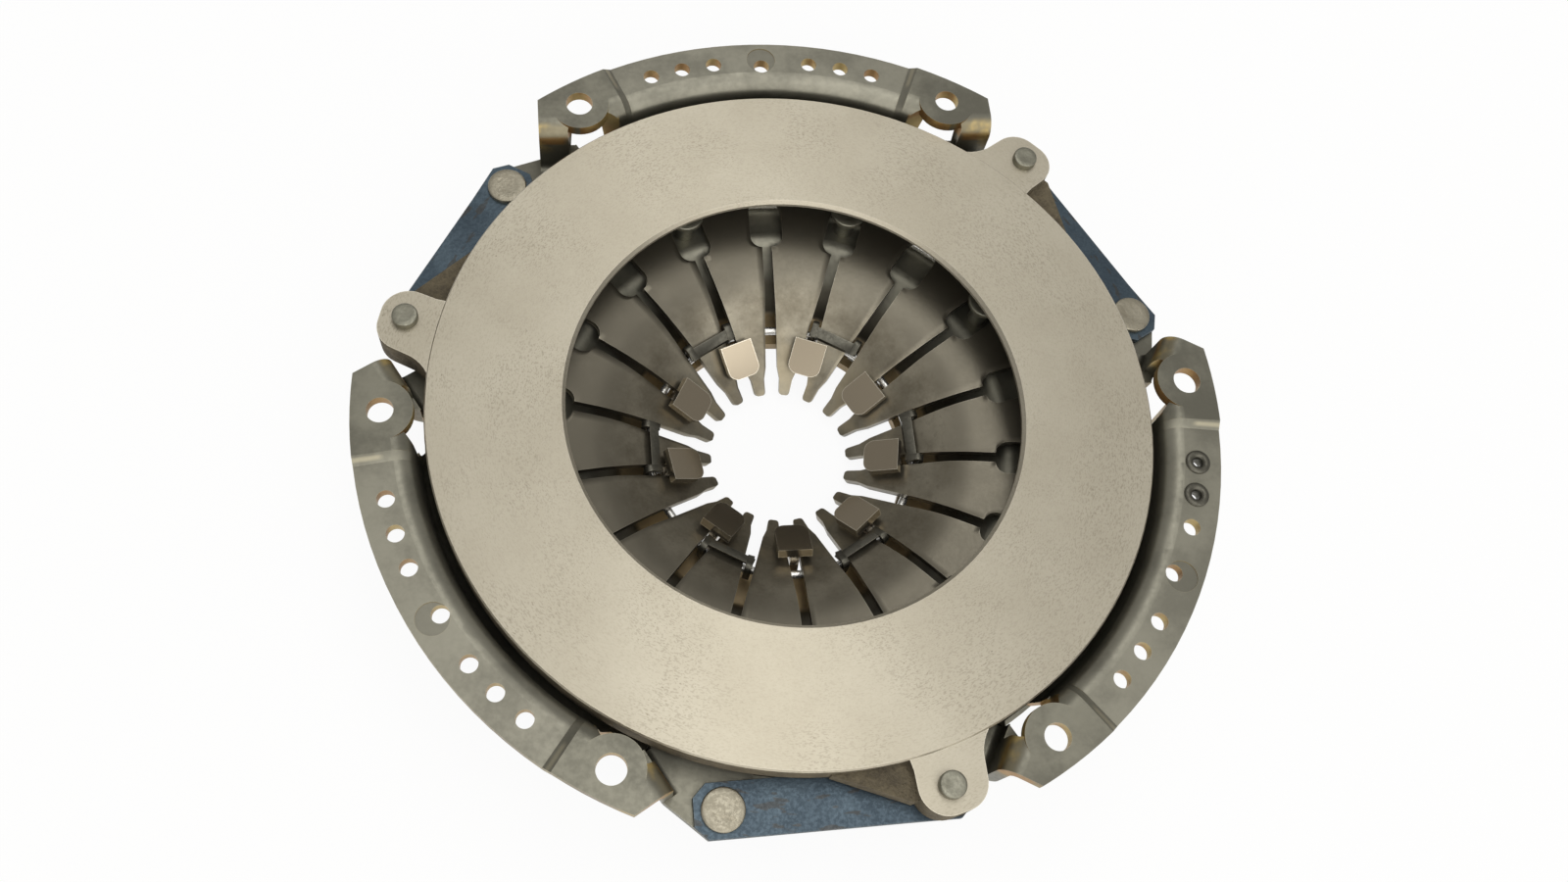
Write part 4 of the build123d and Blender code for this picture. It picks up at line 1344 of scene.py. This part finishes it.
@dataclass
class Rivets:
    """All the rivets, each kind turned from its own half section and repeated round the axis.

    The balance rivets are hollow; their rim is given by radius and depth below its top.
    """

    ends: StrapEnds = StrapEnds()
    shelf: RivetShape = RivetShape(RivetHead(6.85, 0.12, 0.5, 0.08), top=-16.2, under=-18.0,
                                   tail=-24.3, low=-26.55, tail_r=6.0)
    lug: RivetShape = RivetShape(RivetHead(4.25, 0.08, 0.45, 0.06), top=-1.7, under=-4.45,
                                 tail=-17.8, low=-20.0, tail_r=6.0)
    shank: float = 3.5
    tail_edge: float = 0.6
    segments: int = 40
    weld: float = 1e-7
    sharp: float = 40.0
    fulcrum_head: RivetHead = RivetHead(6.3, 0.3, 0.6, 0.1)
    fulcrum_thick: float = 2.0
    fulcrum_tail_r: float = 5.5
    fulcrum_r: float = 88.7
    fulcrum_count: int = 9
    fulcrum_start: float = 110.0
    balance_rim: tuple[Point2, ...] = (
        (1.6, 1.0), (1.85, 0.45), (2.5, 0.08), (3.0, 0.0), (3.7, 0.12),
        (4.1, 0.4), (4.2, 0.7), (4.1, 0.9), (2.7, 0.9),
    )
    balance_r: float = 136.3
    balance_count: int = 2
    balance_pitch: float = 5.0
    balance_start: float = -17.5

    def turned(self, points: Sequence[Point2], name: str, radius: float) -> bpy.types.Mesh:
        """Turn a half section about its own axis and move it out from the shaft axis.

        Args:
            points: radius and height, with both ends on the axis or at one point.
            name: name of the mesh.
            radius: distance from the shaft axis.

        Returns:
            The mesh.
        """
        bm = bmesh.new()
        verts = [bm.verts.new((out * MM, 0.0, height * MM)) for out, height in points]
        edges = [bm.edges.new(pair) for pair in zip(verts, verts[1:])]
        bmesh.ops.spin(bm, geom=verts + edges, cent=(0, 0, 0), axis=(0, 0, 1), angle=2 * math.pi,
                       steps=self.segments, use_merge=True)
        bmesh.ops.remove_doubles(bm, verts=bm.verts, dist=self.weld)
        mesh = mesh_from(bm, name, self.sharp)
        mesh.transform(Matrix.Translation((radius * MM, 0.0, 0.0)))
        return mesh

    def solid(self, shape: RivetShape, name: str, radius: float) -> bpy.types.Mesh:
        """Make one solid rivet.

        Args:
            shape: its sizes.
            name: name of the mesh.
            radius: distance from the shaft axis.

        Returns:
            The mesh.
        """
        edge = min(self.tail_edge, (shape.tail - shape.low) / 2)
        head = shape.head.section(shape.top)
        points = [*head, (head[-1][0], shape.under), (self.shank, shape.under),
                  (self.shank, shape.tail), (shape.tail_r, shape.tail),
                  (shape.tail_r, shape.low + edge), (shape.tail_r - edge, shape.low),
                  (0.0, shape.low)]
        return self.turned(points, name, radius)

    def fulcrum(self) -> bpy.types.Mesh:
        """Make one of the rivets that hold the pivot rings.

        Returns:
            The mesh.
        """
        low, high = (corner.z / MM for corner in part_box("fulcrum_rivets"))
        shape = RivetShape(self.fulcrum_head, high, high - self.fulcrum_thick,
                           low + self.fulcrum_thick, low, self.fulcrum_tail_r)
        return self.solid(shape, "fulcrum_rivet", self.fulcrum_r)

    def hollow(self) -> bpy.types.Mesh:
        """Make one hollow balance rivet with rolled rims.

        Returns:
            The mesh.
        """
        low, high = (corner.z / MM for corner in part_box("balance_rivets"))
        points = [(out, high - depth) for out, depth in self.balance_rim]
        points += [(out, low + depth) for out, depth in reversed(self.balance_rim)]
        points.append(points[0])
        return self.turned(points, "hollow_rivet", self.balance_r)

    def build(self, repeat: Repeat, beige: bpy.types.Material, grey: bpy.types.Material,
              dark: bpy.types.Material) -> None:
        """Make every kind of rivet.

        Args:
            repeat: the turning tree.
            beige: finish of the strap rivets on the cover.
            grey: finish of the lug and fulcrum rivets.
            dark: finish of the balance rivets.
        """
        numbers = range(1, WINGS + 1)
        shelf = self.solid(self.shelf, "shelf_rivet", self.ends.shelf_r)
        piece = repeat.make("strap_cover_rivets", shelf, beige, WINGS, -WING_PITCH,
                            WING_0_ANGLE - self.ends.shelf_offset)
        placed(piece, Body.COVER, Slot.RIVET, *[f"strap_cover_rivet_{k}" for k in numbers])
        lug = self.solid(self.lug, "lug_rivet", self.ends.lug_r)
        piece = repeat.make("strap_lug_rivets", lug, grey, WINGS, -WING_PITCH,
                            WING_0_ANGLE - self.ends.lug_offset)
        placed(piece, Body.PLATE, Slot.RIVET, *[f"strap_lug_rivet_{k}" for k in numbers])
        piece = repeat.make("pivot_rivets", self.fulcrum(), grey, self.fulcrum_count,
                            FULL_TURN / self.fulcrum_count, self.fulcrum_start)
        placed(piece, Body.COVER, Slot.RIVET, "fulcrum_rivets")
        piece = repeat.make("weight_rivets", self.hollow(), dark, self.balance_count,
                            self.balance_pitch, self.balance_start)
        placed(piece, Body.COVER, Slot.DARK, "balance_rivets")


@dataclass
class FingerClips:
    """Six flat clips, the first one's solid with rounded edges, repeated round the axis."""

    count: int = 6
    weld: float = 1e-6
    flat_angle: float = 1.0
    rim_angle: float = 40.0
    edge_round: float = 0.25
    edge_faces: int = 2
    sharp: float = 40.0

    def build(self, frame: dict, repeat: Repeat, finish: bpy.types.Material) -> None:
        """Make the clips.

        Args:
            repeat: the turning tree.
            finish: dark steel.
        """
        bm = bmesh.new()
        bm.from_mesh(frame["nodes"]["finger_clip_1"].data)
        bmesh.ops.remove_doubles(bm, verts=bm.verts, dist=self.weld)
        bmesh.ops.dissolve_limit(bm, angle_limit=math.radians(self.flat_angle), verts=bm.verts,
                                 edges=bm.edges)
        soften(bm, self.rim_angle, self.edge_round, self.edge_faces)
        mesh = mesh_from(bm, "finger_clip", self.sharp)
        piece = repeat.make("finger_clips", mesh, finish, self.count, -FULL_TURN / self.count, 0.0)
        nodes = [f"finger_clip_{k + 1}" for k in range(self.count)]
        placed(piece, Body.FINGER_RING, Slot.DARK, *nodes)


@dataclass(frozen=True)
class Lamp:
    """Soft lamp that faces straight down: place and two sides in metres, power in watts."""

    name: str
    spot: Point3
    sides: Point2
    power: float

    def hang(self) -> None:
        """Add the lamp to the scene."""
        data = bpy.data.lights.new(self.name, "AREA")
        data.shape = "RECTANGLE"
        data.size, data.size_y = self.sides
        data.energy = self.power
        lamp = bpy.data.objects.new(self.name, data)
        lamp.location = self.spot
        bpy.context.scene.collection.objects.link(lamp)


@dataclass
class Studio:
    """White table, soft lamps, room and camera, with lengths in metres.

    The room's pairs are heights or sides of a direction between which its light changes.
    """

    table_half: float = 4.0
    table_z: float = -0.0586
    table_colour: Colour = (0.86, 0.85, 0.82)
    table_rough: float = 0.7
    table_glow: float = 0.92
    air_colour: Colour = (1.0, 0.99, 0.97)
    backdrop_top: Point2 = (0.02, 0.1)
    room_rise: Point2 = (0.68, 1.0)
    room_light: Point2 = (0.42, 1.0)
    front_side: Point2 = (-0.62, -0.38)
    front_light: float = 1.3
    lamps: tuple[Lamp, ...] = (
        Lamp("overhead", (0.08, 0.16, 1.1), (0.34, 1.58), 3.4),
        Lamp("front_fill", (0.55, -0.5, 1.1), (0.34, 0.34), 0.9),
    )
    camera_spot: Point3 = (-0.075783, -0.180197, 0.39921)
    right: Point3 = (0.9905155, -0.0877832, 0.1057028)
    down: Point3 = (-0.0397147, -0.9193793, -0.3913623)
    ahead: Point3 = (0.1315360, 0.3834524, -0.9141458)
    focal_px: float = 1371.704
    centre_px: Point2 = (763.076, 441.031)
    frame_px: tuple[int, int] = (1600, 900)
    sensor_mm: float = 36.0
    nearest: float = 0.01

    def camera(self) -> None:
        """Set the camera at the photograph's view."""
        data = bpy.data.cameras.new("view")
        width, height = self.frame_px
        data.sensor_width = self.sensor_mm
        data.lens = self.focal_px / width * self.sensor_mm
        data.shift_x = (width / 2 - self.centre_px[0]) / width
        data.shift_y = (self.centre_px[1] - height / 2) / width
        data.clip_start = self.nearest
        camera = bpy.data.objects.new("view", data)
        axes = Matrix((self.right, [-v for v in self.down], [-v for v in self.ahead])).transposed()
        camera.matrix_world = Matrix.Translation(self.camera_spot) @ axes.to_4x4()
        bpy.context.scene.collection.objects.link(camera)
        bpy.context.scene.camera = camera

    def table(self) -> None:
        """Lay the table, which shows as white and keeps a faint shadow."""
        bm = bmesh.new()
        bmesh.ops.create_grid(bm, x_segments=1, y_segments=1, size=self.table_half)
        bmesh.ops.translate(bm, verts=bm.verts, vec=(0, 0, self.table_z))
        mesh = bpy.data.meshes.new("table")
        bm.to_mesh(mesh)
        bm.free()
        table = bpy.data.objects.new("table", mesh)
        bpy.context.scene.collection.objects.link(table)
        g, shader, material = Finish("white_table").start()
        g.feed(shader.inputs["Base Color"], self.table_colour)
        shader.inputs["Roughness"].default_value = self.table_rough
        path = g.node("ShaderNodeLightPath").outputs
        seen = g.most(path["Is Camera Ray"], path["Is Glossy Ray"], path["Is Transmission Ray"])
        both = g.node("ShaderNodeMixShader")
        g.feed(both.inputs[0], g.times(seen, self.table_glow))
        g.feed(both.inputs[1], shader.outputs[0])
        g.feed(both.inputs[2], g.node("ShaderNodeEmission").outputs[0])
        g.feed(material.node_tree.nodes["Material Output"].inputs[0], both.outputs[0])
        mesh.materials.append(material)

    def room(self) -> None:
        """Light the room from above and from the front, white wherever the camera sees it."""
        world = bpy.data.worlds.new("room")
        bpy.context.scene.world = world
        world.use_nodes = True
        g = Graph(world.node_tree)
        air = world.node_tree.nodes["Background"]
        path = g.node("ShaderNodeLightPath").outputs
        _, toward_y, toward_z = g.split(g.node("ShaderNodeTexCoord").outputs["Generated"])
        backdrop = g.times(path["Is Glossy Ray"], g.ramp(toward_z, *self.backdrop_top, 1.0, 0.0))
        seen = g.most(path["Is Camera Ray"], backdrop, path["Is Transmission Ray"])
        above = g.ramp(toward_z, *self.room_rise, *self.room_light)
        front = g.ramp(toward_y, *self.front_side, self.front_light, 0.0)
        g.feed(air.inputs["Color"], self.air_colour)
        g.feed(air.inputs["Strength"], g.most(g.math("ADD", above, front), seen))

    def build(self) -> None:
        """Set the view, the light and the table."""
        self.camera()
        self.room()
        self.table()
        for lamp in self.lamps:
            lamp.hang()
        bpy.context.scene.view_settings.view_transform = "Standard"


FINISHES: tuple[Finish, ...] = (
    GroundIron("ground_iron"),
    CoverSteel("cover_steel"),
    SpringSteel("spring_steel", base=(0.135, 0.118, 0.085), cloud=(0.27, 0.245, 0.188),
                streak=(0.11, 0.095, 0.068), streaks=0.2, stains=Clouds(60.0, fine_share=0.14),
                rough=(0.3, 0.34), bare_and_glint_share=0.5, relief_depth=0.000001),
    StainedSteel("blued_steel", base=(0.045, 0.062, 0.078), cloud=(0.085, 0.115, 0.138),
                 streak=(0.06, 0.05, 0.038), streaks=0.55, stains=Clouds(70.0),
                 rough=(0.36, 0.46), relief_depth=0.00002),
    StainedSteel("beige_rivet", base=(0.29, 0.262, 0.198), cloud=(0.34, 0.312, 0.242),
                 streak=(0.19, 0.16, 0.11), streaks=0.25, stains=Clouds(160.0),
                 relief_depth=0.00003),
    StainedSteel("grey_rivet", base=(0.2, 0.192, 0.15), cloud=(0.27, 0.262, 0.208),
                 streak=(0.15, 0.14, 0.105), streaks=0.25, stains=Clouds(200.0),
                 relief_depth=0.00003),
    StainedSteel("bright_wire", base=(0.6, 0.59, 0.56), cloud=(0.72, 0.71, 0.68),
                 streak=(0.4, 0.39, 0.36), streaks=0.2, rough=(0.2, 0.3)),
    StainedSteel("dark_clip", base=(0.08, 0.075, 0.06), cloud=(0.13, 0.124, 0.1),
                 streak=(0.05, 0.046, 0.035), streaks=0.2, stains=Clouds(150.0),
                 relief_depth=0.00002),
)


def main() -> None:
    """Build the classes in order."""
    logging.basicConfig(level=logging.INFO, format="%(name)s: %(message)s")
    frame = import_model()
    fx = Effects()
    repeat = Repeat()
    Studio().build()
    looks = {finish.name: finish.build(fx) for finish in FINISHES}
    dress(frame, "pressure_plate", looks["ground_iron"])
    dress(frame, "cover", looks["cover_steel"])
    for node in ("finger_ring", "cover_pivot_ring", "plate_pivot_ring"):
        dress(frame, node, looks["bright_wire"])
    DiaphragmSpring().build(repeat, looks["spring_steel"])
    Straps().build(looks["blued_steel"])
    Rivets().build(repeat, looks["beige_rivet"], looks["grey_rivet"], looks["dark_clip"])
    FingerClips().build(frame, repeat, looks["dark_clip"])


if __name__ == "__main__":
    main()
